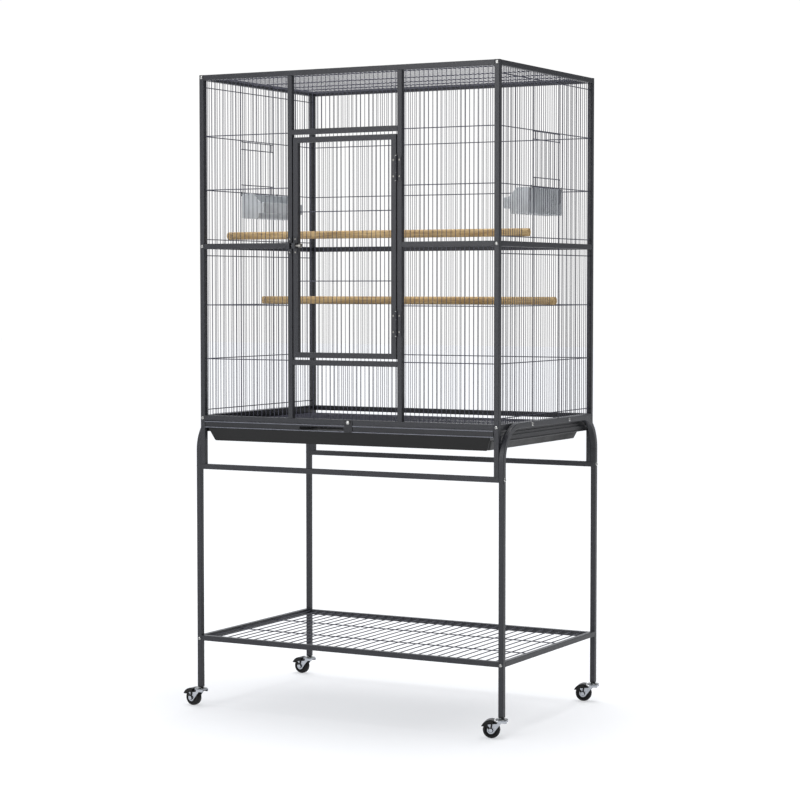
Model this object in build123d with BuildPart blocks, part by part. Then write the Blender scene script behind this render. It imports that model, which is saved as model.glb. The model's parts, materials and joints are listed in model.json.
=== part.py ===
from build123d import *
import os
from math import atan, cos, degrees, radians, sin, tan

os.makedirs("parts", exist_ok=True)

# A flight cage for small birds on a rolling stand. Millimetres, +Z up, the door faces -Y.
# The origin is on the floor, under the middle of the cage.

# ---- driving dimensions ----
CAGE_WIDTH = 813.0        # over the corner posts, along X
CAGE_DEPTH = 533.0        # over the corner posts, along Y
TOP_Z = 1549.0            # top of the cage
POST_FOOT_Z = 601.0       # corner posts stand on the stand's braces here
BOTTOM_RAIL_Z = 714.35    # centre heights of the horizontal tubes
MID_RAIL_Z = 1133.35
DOOR_SILL_Z = 854.3
DOOR_HEAD_Z = 1402.5
SHELF_Z = 170.5
LEG_FOOT_Z = 51.0

TUBE = 12.7               # half-inch square tube
TUBE_WALL = 1.0
TUBE_CORNER = 1.2
SLIP = 0.1                # play of a tube that slips in between two others
CAP_HEIGHT = 1.5
CAP_DEPTH = 12.0

WIRE = 2.4                # thickness of the cage wires
WIRE_PITCH = 11.8         # front, back and roof
SIDE_PITCH = 11.9         # side walls and cup doors
ROOF_ROWS = (-198.0, -45.0, 56.0, 133.0)
WALL_ROWS_UPPER = (1520.0, 1401.0, 1270.5, 1150.5)
WALL_ROWS_LOWER = (1111.0, 990.5, 859.0, 734.0)

DOOR_POST_X = 149.0       # the two posts either side of the door
DOOR_WIDTH = 279.0
DOOR_BOTTOM_Z = 866.0
DOOR_TOP_Z = 1389.5
DOOR_ROWS = (1213.0, 1048.5)

HINGE_X = 141.1           # the door's hinge axis
HINGE_Z = (1310.0, 948.5)
HINGE_HEIGHT = 57.0
HINGE_BARREL = 3.2        # radius of the knuckles
HINGE_PIN = 1.5
PIN_HEAD = 2.4
PIN_HEAD_HEIGHT = 1.2
HINGE_LEAF = 12.4         # reach of a leaf from the hinge axis
LEAF_THICK = 1.2
KNUCKLE_GAP = 0.3
RUNNING = 0.05            # radial play of a pin in its hole

LATCH_Z = 1132.5
LATCH_PLATE = 42.0
LATCH_THICK = 1.5
LATCH_WIDTH = 11.5
LATCH_BLOCK = 13.0
LATCH_STEP = 1.2          # the block is this much narrower than its plate on each side
LATCH_REACH = 9.5         # how far the guide blocks stand out from their plates
BOLT_BAR = 3.0            # radius of the sliding bolt
BOLT_AXIS_Y = 4.8         # from the plate's face to the bolt's axis
BOLT_LENGTH = 21.0
KEEPER_PLAY = 0.4
KNOB_RADIUS = 5.5
KNOB_LENGTH = 7.0
KNOB_ROUND = 2.0
TAIL_LENGTH = 14.0        # strip of the keeper that lies on the middle rail
TAIL_HEIGHT = 8.0
TAIL_THICK = 2.4

GUIDE_WIRE = 3.0          # thick wires that the cup doors slide on
GUIDE_FRONT_Y = -77.0
GUIDE_STEPS = 12          # wire steps between the two guides
WIRES_BEFORE = 14         # side wires in front of the guides, and behind them
WIRES_BEHIND = 15
CUP_DOOR_ROWS = (1398.3, 1379.5, 1290.6, 1268.5)
GUIDE_PLAY = 0.15
HOOK_LIP = 0.4            # how far a hook's ends reach past its guide wire's flank
CUP_LENGTH = 184.0
CUP_MIDDLE_Y = 2.0
CUP_BASE_DEPTH = 48.0     # from the cup's back to the front of its floor
CUP_NECK_DEPTH = 50.0     # to the inner edge of the feeding trough
CUP_DEPTH = 65.0          # to the trough's lip
CUP_FLOOR_Z = 1206.0
TROUGH_FLOOR_Z = 1219.0
TROUGH_LIP_Z = 1244.0
CUP_BACK_Z = 1267.0
CHEEK_FOOT = 53.0         # from the back to the foot and the top of the cup's sloping cheeks
CHEEK_TOP = 32.0
CUP_WALL = 2.0
CUP_CORNER = 3.0          # rounding of the cup's front corners
STRAP_THICK = 1.2
STRAP_WIDTH = 5.0
STRAP_Y = (-84.0, 83.65)
STRAP_DROP = 11.0         # turned-down end outside the wall
STRAP_FOOT_Z = 1235.0
STRAP_PLAY = 0.25

PERCH_RADIUS = 9.5
UPPER_PERCH_LENGTH = 830.0
LOWER_PERCH_LENGTH = 823.0
PERCH_SLOT = 3.2
PERCH_PLAY = 0.3
PERCH_CHAMFER = 0.8
PERCH_NOTCH = 2.0         # slot beyond the wire, on the birds' side

SHEET = 1.0               # thickness of the tray guides
LEDGE = 9.8
GUIDE_BOTTOM_Z = 681.0
GRATE_LEDGE_Z = 692.0
GRATE_TOP_Z = 702.0
GRATE_BAR_BOTTOM_Z = 691.0
GRATE_BAR_TOP_Z = 707.0
GRATE_FOLD = 1.5
GRATE_REAR_Y = 248.0
GRATE_WIDTH = 785.6
RUNNER_WIDTH = 6.8
GRATE_ROWS = (-205.0, -105.0, -5.0, 95.0, 195.0)
HANDLE_LENGTH = 122.0
HANDLE_HEIGHT = 8.0
HANDLE_Z = 698.0
HANDLE_X = -63.0
TAB_X = 12.0
TAB_WIDTH = 21.0
TAB_CORNER = 2.5
LOCK_Z = 714.5
LOCK_RADIUS = 2.5
LOCK_HEAD = 5.0
LOCK_HEAD_HEIGHT = 4.0
LOCK_SHANK = 6.5

TRAY_FLOOR_Z = 660.0
TRAY_RIM_Z = 684.3
TRAY_WALL = 2.0
TRAY_MOUTH_WIDTH = 764.0
TRAY_REAR_Y = 245.0
TRAY_SLOPE = 21.5         # lean of the tray's walls, degrees
TRAY_CORNER = 12.0
TRAY_FRONT_TOP_Z = 690.5
TRAY_FRONT_Y = -261.0     # front of the mouth, where the front wall stands
TRAY_FRONT_THICK = 2.5
TRAY_FRONT_WIDTH = 767.6
TRAY_FRONT_CORNER = 5.0   # rounding of the front wall's lower corners
TRAY_RIM_CORNER = 4.0

HOOP_BEND = 78.65         # bend radius of the stand's hoops, to the tube's centre
HOOP_SCREW_Y = (-112.5, 96.5)
SHELF_PITCH = 25.4
SHELF_BACK_Z = 167.5      # the shelf's back rail sits a little lower
SHELF_ROWS = (-80.0, 88.0)
SHELF_SIDE_WIRES = 15     # wires each side of the middle one
INSERT_LENGTH = 10.0

SCREW_RADIUS = 2.45
SCREW_PLAY = 0.1
SCREW_HEAD = 4.6
SCREW_HEAD_HEIGHT = 3.0
SCREW_BITE = 11.0         # thread beyond the first tube
HOOP_SCREW_BITE = 3.0
SCREW_DOME = 20           # taper of the heads, degrees

CASTER_TRAIL = 23.5
WHEEL_RADIUS = 20.0
WHEEL_WIDTH = 17.0
WHEEL_ROUND = 3.5
DISH = (6.5, 13.5)        # radii of the dish in each side of the wheel
DISH_DEPTH = 3.0
STEM_RADIUS = 4.0
STEM_TOP_Z = 72.0
HEAD_RADIUS = 14.5
HEAD_CHAMFER = 0.8
HEAD_TOP_Z = 45.0
HEAD_BOSS = (7.0, 3.2)     # radius and height of the boss on the swivel head
FORK_ROOF_Z = 41.3
EAR_GAP = 0.8
EAR_THICK = 1.8
EAR_FRONT = 13.0          # ears start this far ahead of the stem
EAR_SKIRT = 5.3           # how far they hang down there
EAR_BOSS = 8.5
ROOF_REACH = 13.0         # the fork's roof ends this far behind the stem
ROOF_THICK = 2.0
NUT_RADIUS = 5.2
NUT_HEIGHT = 2.6
BOLT_HEAD = (5.0, 2.2)    # radius and height of the axle's round head
TIGHT = 0.02
AXLE_RADIUS = 3.0
PLUG_FLANGE_Z = 48.5
BRAKE_INNER = 22.0
BRAKE_OUTER = 24.0
BRAKE_FROM = 21.0         # degrees round the wheel, from the trailing side
BRAKE_TO = 103.0
ARM_GAP = 0.5
ARM_THICK = 1.5
ARM_BOSS = 6.0
PLUG_LENGTH = 26.0

# ---- worked out from them ----
OUTER_X = CAGE_WIDTH / 2
OUTER_Y = CAGE_DEPTH / 2
POST_X = OUTER_X - TUBE / 2
POST_Y = OUTER_Y - TUBE / 2
INNER_X = OUTER_X - TUBE
INNER_Y = OUTER_Y - TUBE
LEG_X = OUTER_X + TUBE / 2
STAND_X = OUTER_X + TUBE
TUBE_BORE = TUBE - 2 * TUBE_WALL
TOP_RAIL_Z = TOP_Z - TUBE / 2
BRACE_Z = POST_FOOT_Z - TUBE / 2
RAIL_LEVELS = (BOTTOM_RAIL_Z, MID_RAIL_Z, TOP_RAIL_Z)
BAY_LEFT_X = DOOR_POST_X + TUBE / 2      # inner edge of a side bay, without its sign
DOOR_BAY_X = DOOR_POST_X - TUBE / 2      # half of the clear width between the door posts
SIDE_PLANE_X = POST_X                    # plane of the side walls' wires
GUIDE_X = SIDE_PLANE_X + WIRE / 2 + GUIDE_WIRE / 2
GUIDE_REAR_Y = GUIDE_FRONT_Y + GUIDE_STEPS * SIDE_PITCH
BOTH = (-1, 1)


def finish(piece, name):
    """Label a finished piece and write it out."""
    piece.part.label = name
    export_step(piece.part, f"parts/{name}.step")


# ---- shapes that repeat ----
def tube_run(start, direction, length):
    """A straight square tube from a point, along X, Y or Z."""
    side = (0, 1, 0) if direction[0] else (1, 0, 0)
    with BuildSketch(Plane(origin=start, x_dir=side, z_dir=direction)) as section:
        RectangleRounded(TUBE, TUBE, TUBE_CORNER)
        Rectangle(TUBE_BORE, TUBE_BORE, mode=Mode.SUBTRACT)
    extrude(section.sketch, amount=length)


def tube_x(x0, x1, y, z):
    tube_run((x0, y, z), (1, 0, 0), x1 - x0)


def tube_y(y0, y1, x, z):
    tube_run((x, y0, z), (0, 1, 0), y1 - y0)


def tube_z(z0, z1, x, y):
    tube_run((x, y, z0), (0, 0, 1), z1 - z0)


def drill(points, rotation, radius, depth):
    """Round holes of one size through the part being built."""
    with Locations(*points):
        Cylinder(radius, depth, rotation=rotation, mode=Mode.SUBTRACT)


ALONG_X = (0, 90, 0)
ALONG_Y = (90, 0, 0)


def wire_grid(plane, u_range, v_range, uprights, rows):
    """A welded wire panel: uprights at each u, crossed by rows at each v."""
    u_middle = sum(u_range) / 2
    v_middle = sum(v_range) / 2
    with BuildSketch(plane.offset(-WIRE / 2)) as grid:
        with Locations(*[(u, v_middle) for u in uprights]):
            Rectangle(WIRE, v_range[1] - v_range[0])
        if rows:
            with Locations(*[(u_middle, v) for v in rows]):
                Rectangle(u_range[1] - u_range[0], WIRE)
    extrude(grid.sketch, amount=WIRE)


def spread(middle, room, pitch):
    """Even wire positions that fill a bay, with a part step at each end."""
    count = int(room / pitch)
    return [middle + (i - (count - 1) / 2) * pitch for i in range(count)]


def dome_screw(place, bite):
    """A dome-headed screw: head on the plane, shank along its normal."""
    with BuildSketch(place) as head:
        Circle(SCREW_HEAD)
    extrude(head.sketch, amount=-SCREW_HEAD_HEIGHT, taper=SCREW_DOME)
    with BuildSketch(place) as shank:
        Circle(SCREW_RADIUS)
    extrude(shank.sketch, amount=bite)


# plane of a wall across Y (front and back) and across X (sides): u is level, v is height
def wall_across_y(y):
    return Plane(origin=(0, y, 0), x_dir=(1, 0, 0), z_dir=(0, -1, 0))


def wall_across_x(x):
    return Plane(origin=(x, 0, 0), x_dir=(0, 1, 0), z_dir=(1, 0, 0))


UPPER_WALL = (MID_RAIL_Z + TUBE / 2, TOP_RAIL_Z - TUBE / 2)
LOWER_WALL = (BOTTOM_RAIL_Z + TUBE / 2, MID_RAIL_Z - TUBE / 2)

# ---- cage frame ----
with BuildPart() as corner_posts:
    for x in (-POST_X, POST_X):
        for y in (-POST_Y, POST_Y):
            tube_z(POST_FOOT_Z, TOP_Z - CAP_HEIGHT, x, y)
            bolt_points = [(x, y, z) for z in RAIL_LEVELS]
            drill(bolt_points, ALONG_Y, SCREW_RADIUS + SCREW_PLAY, TUBE + 2)
finish(corner_posts, "corner_posts")

with BuildPart() as post_caps:
    for x in (-POST_X, POST_X):
        for y in (-POST_Y, POST_Y):
            with BuildSketch(Plane.XY.offset(TOP_Z - CAP_HEIGHT)):
                with Locations((x, y)):
                    RectangleRounded(TUBE, TUBE, TUBE_CORNER)
            extrude(amount=CAP_HEIGHT)
            with BuildSketch(Plane.XY.offset(TOP_Z - CAP_HEIGHT)):
                with Locations((x, y)):
                    Rectangle(TUBE_BORE - SLIP, TUBE_BORE - SLIP)
            extrude(amount=-2 * TUBE_WALL)
finish(post_caps, "post_caps")

with BuildPart() as door_posts:
    for side in BOTH:
        tube_z(LOWER_WALL[0], UPPER_WALL[1], side * DOOR_POST_X, -POST_Y)
finish(door_posts, "door_posts")

with BuildPart() as front_rails:
    for z in (BOTTOM_RAIL_Z, TOP_RAIL_Z):
        tube_x(-INNER_X, INNER_X, -POST_Y, z)
    for z in (DOOR_SILL_Z, DOOR_HEAD_Z):
        tube_x(-DOOR_BAY_X, DOOR_BAY_X, -POST_Y, z)
    tube_x(-INNER_X, -BAY_LEFT_X, -POST_Y, MID_RAIL_Z)
    tube_x(BAY_LEFT_X, INNER_X, -POST_Y, MID_RAIL_Z)
    lock_hole = [(TAB_X, -OUTER_Y, LOCK_Z)]
    drill(lock_hole, ALONG_Y, LOCK_RADIUS + SCREW_PLAY, TUBE)
finish(front_rails, "front_rails")

with BuildPart() as back_rails:
    for z in RAIL_LEVELS:
        tube_x(-INNER_X, INNER_X, POST_Y, z)
finish(back_rails, "back_rails")

with BuildPart() as side_rails:
    for side in BOTH:
        for z in RAIL_LEVELS:
            tube_y(-INNER_Y, INNER_Y, side * POST_X, z)
        hoop_points = [(side * OUTER_X, y, BOTTOM_RAIL_Z) for y in HOOP_SCREW_Y]
        drill(hoop_points, ALONG_X, SCREW_RADIUS + SCREW_PLAY, TUBE)
finish(side_rails, "side_rails")

# ---- wire walls and roof ----
with BuildPart() as front_bay_wires:
    for side in BOTH:
        edges = sorted((side * BAY_LEFT_X, side * INNER_X))
        uprights = spread(sum(edges) / 2, edges[1] - edges[0], WIRE_PITCH)
        wire_grid(wall_across_y(-POST_Y), edges, UPPER_WALL, uprights, WALL_ROWS_UPPER[1:3])
        wire_grid(wall_across_y(-POST_Y), edges, LOWER_WALL, uprights, WALL_ROWS_LOWER[1:3])
finish(front_bay_wires, "front_bay_wires")

with BuildPart() as front_centre_wires:
    edges = (-DOOR_BAY_X, DOOR_BAY_X)
    uprights = spread(0, 2 * DOOR_BAY_X, WIRE_PITCH)
    above = (DOOR_HEAD_Z + TUBE / 2, UPPER_WALL[1])
    below = (LOWER_WALL[0], DOOR_SILL_Z - TUBE / 2)
    wire_grid(wall_across_y(-POST_Y), edges, above, uprights, (sum(above) / 2,))
    wire_grid(wall_across_y(-POST_Y), edges, below, uprights, (sum(below) / 2,))
finish(front_centre_wires, "front_centre_wires")

with BuildPart() as back_wires:
    edges = (-INNER_X, INNER_X)
    uprights = spread(0, 2 * INNER_X, WIRE_PITCH)
    wire_grid(wall_across_y(POST_Y), edges, UPPER_WALL, uprights, WALL_ROWS_UPPER[1:3])
    wire_grid(wall_across_y(POST_Y), edges, LOWER_WALL, uprights, WALL_ROWS_LOWER[1:3])
finish(back_wires, "back_wires")

with BuildPart() as roof_wires:
    uprights = spread(0, 2 * INNER_X, WIRE_PITCH)
    roof_width = (-INNER_X, INNER_X)
    wire_grid(Plane.XY.offset(TOP_RAIL_Z), roof_width, (-INNER_Y, INNER_Y), uprights, ROOF_ROWS)
finish(roof_wires, "roof_wires")

FRONT_STEPS = range(-WIRES_BEFORE, 0)
MIDDLE_STEPS = range(1, GUIDE_STEPS)
REAR_STEPS = range(GUIDE_STEPS + 1, GUIDE_STEPS + 1 + WIRES_BEHIND)


def side_uprights(steps):
    """Wire positions on a side wall, counted in steps from the front guide."""
    return [GUIDE_FRONT_Y + step * SIDE_PITCH for step in steps]


def side_wall(side, name):
    """Wires of one side wall, in panels that leave the cup door's opening free."""
    wall = wall_across_x(side * SIDE_PLANE_X)
    front = (-INNER_Y, GUIDE_FRONT_Y - SLIP)
    middle = (GUIDE_FRONT_Y + SLIP, GUIDE_REAR_Y - SLIP)
    rear = (GUIDE_REAR_Y + SLIP, INNER_Y)
    over_opening = (WALL_ROWS_UPPER[1] - WIRE / 2, UPPER_WALL[1])
    under_opening = (UPPER_WALL[0], WALL_ROWS_UPPER[2] + WIRE / 2)
    with BuildPart() as wires:
        wire_grid(wall, front, UPPER_WALL, side_uprights(FRONT_STEPS), WALL_ROWS_UPPER)
        wire_grid(wall, rear, UPPER_WALL, side_uprights(REAR_STEPS), WALL_ROWS_UPPER)
        wire_grid(wall, middle, over_opening, side_uprights(MIDDLE_STEPS), WALL_ROWS_UPPER[:2])
        wire_grid(wall, middle, under_opening, side_uprights(MIDDLE_STEPS), WALL_ROWS_UPPER[2:])
        lower_steps = [*FRONT_STEPS, *MIDDLE_STEPS, *REAR_STEPS]
        full = (-INNER_Y, INNER_Y)
        wire_grid(wall, full, LOWER_WALL, side_uprights(lower_steps), WALL_ROWS_LOWER)
    finish(wires, name)


side_wall(-1, "left_wires")
side_wall(1, "right_wires")

with BuildPart() as cup_door_guides:
    for side in BOTH:
        for y in (GUIDE_FRONT_Y, GUIDE_REAR_Y):
            for low, high in (LOWER_WALL, UPPER_WALL):
                with BuildSketch(Plane.XY.offset(low)):
                    with Locations((side * GUIDE_X, y)):
                        Circle(GUIDE_WIRE / 2)
                extrude(amount=high - low)
finish(cup_door_guides, "cup_door_guides")

# ---- front door ----
DOOR_STILE_X = DOOR_WIDTH / 2 - TUBE / 2

with BuildPart() as door_frame:
    with BuildSketch(wall_across_y(-OUTER_Y + TUBE)):
        with Locations((0, (DOOR_BOTTOM_Z + DOOR_TOP_Z) / 2)):
            Rectangle(DOOR_WIDTH, DOOR_TOP_Z - DOOR_BOTTOM_Z)
            opening_height = DOOR_TOP_Z - DOOR_BOTTOM_Z - 2 * TUBE
            Rectangle(DOOR_WIDTH - 2 * TUBE, opening_height, mode=Mode.SUBTRACT)
    extrude(amount=TUBE)
    fillet(door_frame.edges().filter_by(Axis.Y), TUBE_CORNER)
    with BuildSketch(wall_across_y(-OUTER_Y + TUBE - TUBE_WALL)):
        with Locations((0, (DOOR_BOTTOM_Z + DOOR_TOP_Z) / 2)):
            hollow_height = DOOR_TOP_Z - DOOR_BOTTOM_Z - 2 * TUBE_WALL
            Rectangle(DOOR_WIDTH - 2 * TUBE_WALL, hollow_height)
            inner_height = opening_height + 2 * TUBE_WALL
            inner_width = DOOR_WIDTH - 2 * TUBE + 2 * TUBE_WALL
            Rectangle(inner_width, inner_height, mode=Mode.SUBTRACT)
    extrude(amount=TUBE_BORE, mode=Mode.SUBTRACT)
finish(door_frame, "door_frame")

with BuildPart() as door_wires:
    half = DOOR_WIDTH / 2 - TUBE
    heights = (DOOR_BOTTOM_Z + TUBE, DOOR_TOP_Z - TUBE)
    uprights = spread(0, 2 * half, WIRE_PITCH)
    wire_grid(wall_across_y(-POST_Y), (-half, half), heights, uprights, DOOR_ROWS)
finish(door_wires, "door_wires")

HINGE_Y = -OUTER_Y - HINGE_BARREL
KNUCKLE = HINGE_HEIGHT / 3


def knuckle(z_low, z_high):
    """One rolled knuckle, bored for the pin."""
    with BuildSketch(Plane.XY.offset(z_low)) as ring:
        with Locations((HINGE_X, HINGE_Y)):
            Circle(HINGE_BARREL)
            Circle(HINGE_PIN + RUNNING, mode=Mode.SUBTRACT)
    extrude(ring.sketch, amount=z_high - z_low)


def leaf(side, z_low, z_high, inner):
    """Flat part of a hinge leaf, from inner to the leaf's edge."""
    with BuildSketch(Plane.XY.offset(z_low)) as flat:
        with Locations((HINGE_X + side * (inner + HINGE_LEAF) / 2, -OUTER_Y - LEAF_THICK / 2)):
            Rectangle(HINGE_LEAF - inner, LEAF_THICK)
    extrude(flat.sketch, amount=z_high - z_low)


def leaf_with_knuckles(side, z_low, spans):
    """A leaf and the knuckles it carries at the given spans above z_low."""
    clear = HINGE_BARREL + KNUCKLE_GAP
    leaf(side, z_low, z_low + HINGE_HEIGHT, clear)
    for start, end in spans:
        leaf(side, z_low + start, z_low + end, HINGE_BARREL - LEAF_THICK)
        knuckle(z_low + start, z_low + end)


with BuildPart() as hinge_post_leaves:
    for z in HINGE_Z:
        ends = ((0, KNUCKLE - KNUCKLE_GAP), (2 * KNUCKLE + KNUCKLE_GAP, HINGE_HEIGHT))
        leaf_with_knuckles(1, z - HINGE_HEIGHT / 2, ends)
finish(hinge_post_leaves, "hinge_post_leaves")

with BuildPart() as hinge_door_leaves:
    for z in HINGE_Z:
        leaf_with_knuckles(-1, z - HINGE_HEIGHT / 2, ((KNUCKLE, 2 * KNUCKLE),))
finish(hinge_door_leaves, "hinge_door_leaves")

with BuildPart() as hinge_pins:
    for z in HINGE_Z:
        with Locations((HINGE_X, HINGE_Y, z)):
            Cylinder(HINGE_PIN, HINGE_HEIGHT)
        reach = (HINGE_HEIGHT + PIN_HEAD_HEIGHT) / 2
        with Locations((HINGE_X, HINGE_Y, z - reach), (HINGE_X, HINGE_Y, z + reach)):
            Cylinder(PIN_HEAD, PIN_HEAD_HEIGHT)
finish(hinge_pins, "hinge_pins")

# ---- door latch ----
LATCH_FACE_Y = -OUTER_Y - LATCH_THICK
LATCH_AXIS_Y = LATCH_FACE_Y - BOLT_AXIS_Y
LATCH_STILE_X = -DOOR_STILE_X


def latch_half(x_middle, width, bore):
    """A screwed plate with a guide block, bored along X for the sliding bolt."""
    with Locations((x_middle, -OUTER_Y - LATCH_THICK / 2, LATCH_Z)):
        Box(width, LATCH_THICK, LATCH_PLATE)
    with Locations((x_middle, LATCH_FACE_Y - LATCH_REACH / 2, LATCH_Z)):
        Box(width - 2 * LATCH_STEP, LATCH_REACH, LATCH_BLOCK)
    drill([(x_middle, LATCH_AXIS_Y, LATCH_Z)], ALONG_X, bore, width + 2)


with BuildPart() as latch_plate:
    latch_half(LATCH_STILE_X, LATCH_WIDTH, BOLT_BAR + RUNNING)
finish(latch_plate, "latch_plate")

with BuildPart() as latch_keeper:
    latch_half(-DOOR_POST_X, LATCH_WIDTH, BOLT_BAR + KEEPER_PLAY)
    with Locations((-BAY_LEFT_X - TAIL_LENGTH / 2 + LATCH_STEP, -OUTER_Y - TAIL_THICK / 2, LATCH_Z)):
        Box(TAIL_LENGTH, TAIL_THICK, TAIL_HEIGHT)
finish(latch_keeper, "latch_keeper")

BOLT_TIP_X = -DOOR_WIDTH / 2 - LATCH_STEP
KNOB_X = BOLT_TIP_X + BOLT_LENGTH

with BuildPart() as latch_bolt:
    with BuildSketch(Plane(origin=(BOLT_TIP_X, LATCH_AXIS_Y, LATCH_Z), z_dir=(1, 0, 0))):
        Circle(BOLT_BAR)
    extrude(amount=KNOB_X - BOLT_TIP_X)
    with BuildSketch(Plane(origin=(KNOB_X, LATCH_AXIS_Y, LATCH_Z), z_dir=(1, 0, 0))):
        Circle(KNOB_RADIUS)
    extrude(amount=KNOB_LENGTH)
    fillet(latch_bolt.faces().sort_by(Axis.X)[-1].edges(), KNOB_ROUND)
finish(latch_bolt, "latch_bolt")


# ---- cup doors and seed cups ----
def cup_door(side, name):
    """A sliding wire door, hooked round the outside of its two guide wires."""
    inner = GUIDE_WIRE / 2 + GUIDE_PLAY
    outer = inner + WIRE / 2
    span = (GUIDE_FRONT_Y + (inner + outer) / 2, GUIDE_REAR_Y - (inner + outer) / 2)
    heights = (CUP_DOOR_ROWS[-1] - WIRE / 2, CUP_DOOR_ROWS[0] + WIRE / 2)
    with BuildPart() as door:
        wire_grid(
            wall_across_x(side * GUIDE_X), span, heights, side_uprights(MIDDLE_STEPS), CUP_DOOR_ROWS
        )
        for z in CUP_DOOR_ROWS:
            with BuildSketch(Plane.XY.offset(z - WIRE / 2)):
                with Locations((side * GUIDE_X, GUIDE_FRONT_Y), (side * GUIDE_X, GUIDE_REAR_Y)):
                    Circle(outer)
                    Circle(inner, mode=Mode.SUBTRACT)
                # open towards the cage, so that the hooks pass the wall's cross wires
                open_x = side * (GUIDE_X - GUIDE_WIRE / 2 - outer / 2 + HOOK_LIP)
                with Locations((open_x, GUIDE_FRONT_Y), (open_x, GUIDE_REAR_Y)):
                    Rectangle(outer, 3 * outer, mode=Mode.SUBTRACT)
            extrude(amount=WIRE)
    finish(door, name)


cup_door(-1, "left_cup_door")
cup_door(1, "right_cup_door")

CUP_BACK_X = SIDE_PLANE_X - WIRE / 2 - PERCH_PLAY - STRAP_THICK
STRAP_TOP_Z = WALL_ROWS_UPPER[2] + WIRE / 2 + PERCH_PLAY + STRAP_THICK


def seed_cup(side, name):
    """An open bin with a feeding trough along its front, on the birds' side."""
    profile = [
        (side * (CUP_BACK_X - depth), z)
        for depth, z in (
            (0, CUP_FLOOR_Z),
            (CUP_BASE_DEPTH, CUP_FLOOR_Z),
            (CUP_NECK_DEPTH, TROUGH_FLOOR_Z),
            (CUP_DEPTH, TROUGH_FLOOR_Z),
            (CUP_DEPTH, TROUGH_LIP_Z),
            (CHEEK_FOOT, TROUGH_LIP_Z),
            (CHEEK_TOP, CUP_BACK_Z),
            (0, CUP_BACK_Z),
        )
    ]
    with BuildPart() as cup:
        with BuildSketch(Plane.XZ.offset(-CUP_MIDDLE_Y)):
            with BuildLine():
                Polyline(*profile, close=True)
            make_face()
        extrude(amount=CUP_LENGTH / 2, both=True)
        lip_corners = cup.edges().filter_by(Axis.Z).sort_by(Axis.X, reverse=side < 0)[:2]
        fillet(lip_corners, CUP_CORNER)
        mouth = cup.faces().filter_by(lambda face: face.normal_at().Z > 0.5)
        offset(amount=-CUP_WALL, openings=mouth)
    finish(cup, name)


seed_cup(-1, "left_seed_cup")
seed_cup(1, "right_seed_cup")


def cup_straps(side, name):
    """Two hooks that hang a cup's back edge on the cross wire of the wall."""
    inside = CUP_BACK_X
    outside = SIDE_PLANE_X + WIRE / 2 + STRAP_PLAY + STRAP_THICK
    with BuildPart() as straps:
        for y in STRAP_Y:
            with BuildSketch(Plane.XZ.offset(-y)):
                with BuildLine():
                    Polyline(
                        (side * inside, STRAP_FOOT_Z),
                        (side * (inside + STRAP_THICK), STRAP_FOOT_Z),
                        (side * (inside + STRAP_THICK), STRAP_TOP_Z - STRAP_THICK),
                        (side * (outside - STRAP_THICK), STRAP_TOP_Z - STRAP_THICK),
                        (side * (outside - STRAP_THICK), STRAP_TOP_Z - STRAP_DROP),
                        (side * outside, STRAP_TOP_Z - STRAP_DROP),
                        (side * outside, STRAP_TOP_Z),
                        (side * inside, STRAP_TOP_Z),
                        close=True,
                    )
                make_face()
            extrude(amount=STRAP_WIDTH / 2, both=True)
    finish(straps, name)


cup_straps(-1, "left_cup_hooks")
cup_straps(1, "right_cup_hooks")


# ---- perches ----
def perch(step, row_z, length, name):
    """A round perch, slotted at both ends to sit astride a wire and rest on a cross wire."""
    y = GUIDE_FRONT_Y + step * SIDE_PITCH
    z = row_z + WIRE / 2 + PERCH_PLAY + PERCH_RADIUS
    slot = length / 2 - SIDE_PLANE_X + WIRE / 2 + PERCH_NOTCH
    with BuildPart() as dowel:
        with Locations((0, y, z)):
            Cylinder(PERCH_RADIUS, length, rotation=ALONG_X)
        chamfer(dowel.edges().filter_by(GeomType.CIRCLE), PERCH_CHAMFER)
        ends = length / 2 - slot / 2
        with Locations((-ends, y, z), (ends, y, z)):
            Box(slot, PERCH_SLOT, 2 * PERCH_RADIUS + 1, mode=Mode.SUBTRACT)
    finish(dowel, name)


perch(-4, WALL_ROWS_UPPER[3], UPPER_PERCH_LENGTH, "upper_perch")
perch(9, WALL_ROWS_LOWER[1], LOWER_PERCH_LENGTH, "lower_perch")

# ---- tray guides, grate and tray ----
with BuildPart() as tray_guides:
    rail_bottom = BOTTOM_RAIL_Z - TUBE / 2
    for side in BOTH:
        with BuildSketch(Plane.XZ.offset(INNER_Y)):
            with Locations((side * (INNER_X + SHEET / 2), (rail_bottom + GUIDE_BOTTOM_Z) / 2)):
                Rectangle(SHEET, rail_bottom - GUIDE_BOTTOM_Z)
            with Locations((side * (INNER_X + LEDGE / 2), rail_bottom - SHEET / 2)):
                Rectangle(LEDGE, SHEET)
            for ledge_z in (GRATE_LEDGE_Z, GUIDE_BOTTOM_Z):
                with Locations((side * (INNER_X + SHEET - LEDGE / 2), ledge_z + SHEET / 2)):
                    Rectangle(LEDGE, SHEET)
        extrude(amount=-2 * INNER_Y)
finish(tray_guides, "tray_guides")

GRATE_FRONT_Y = -OUTER_Y + GRATE_FOLD

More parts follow.
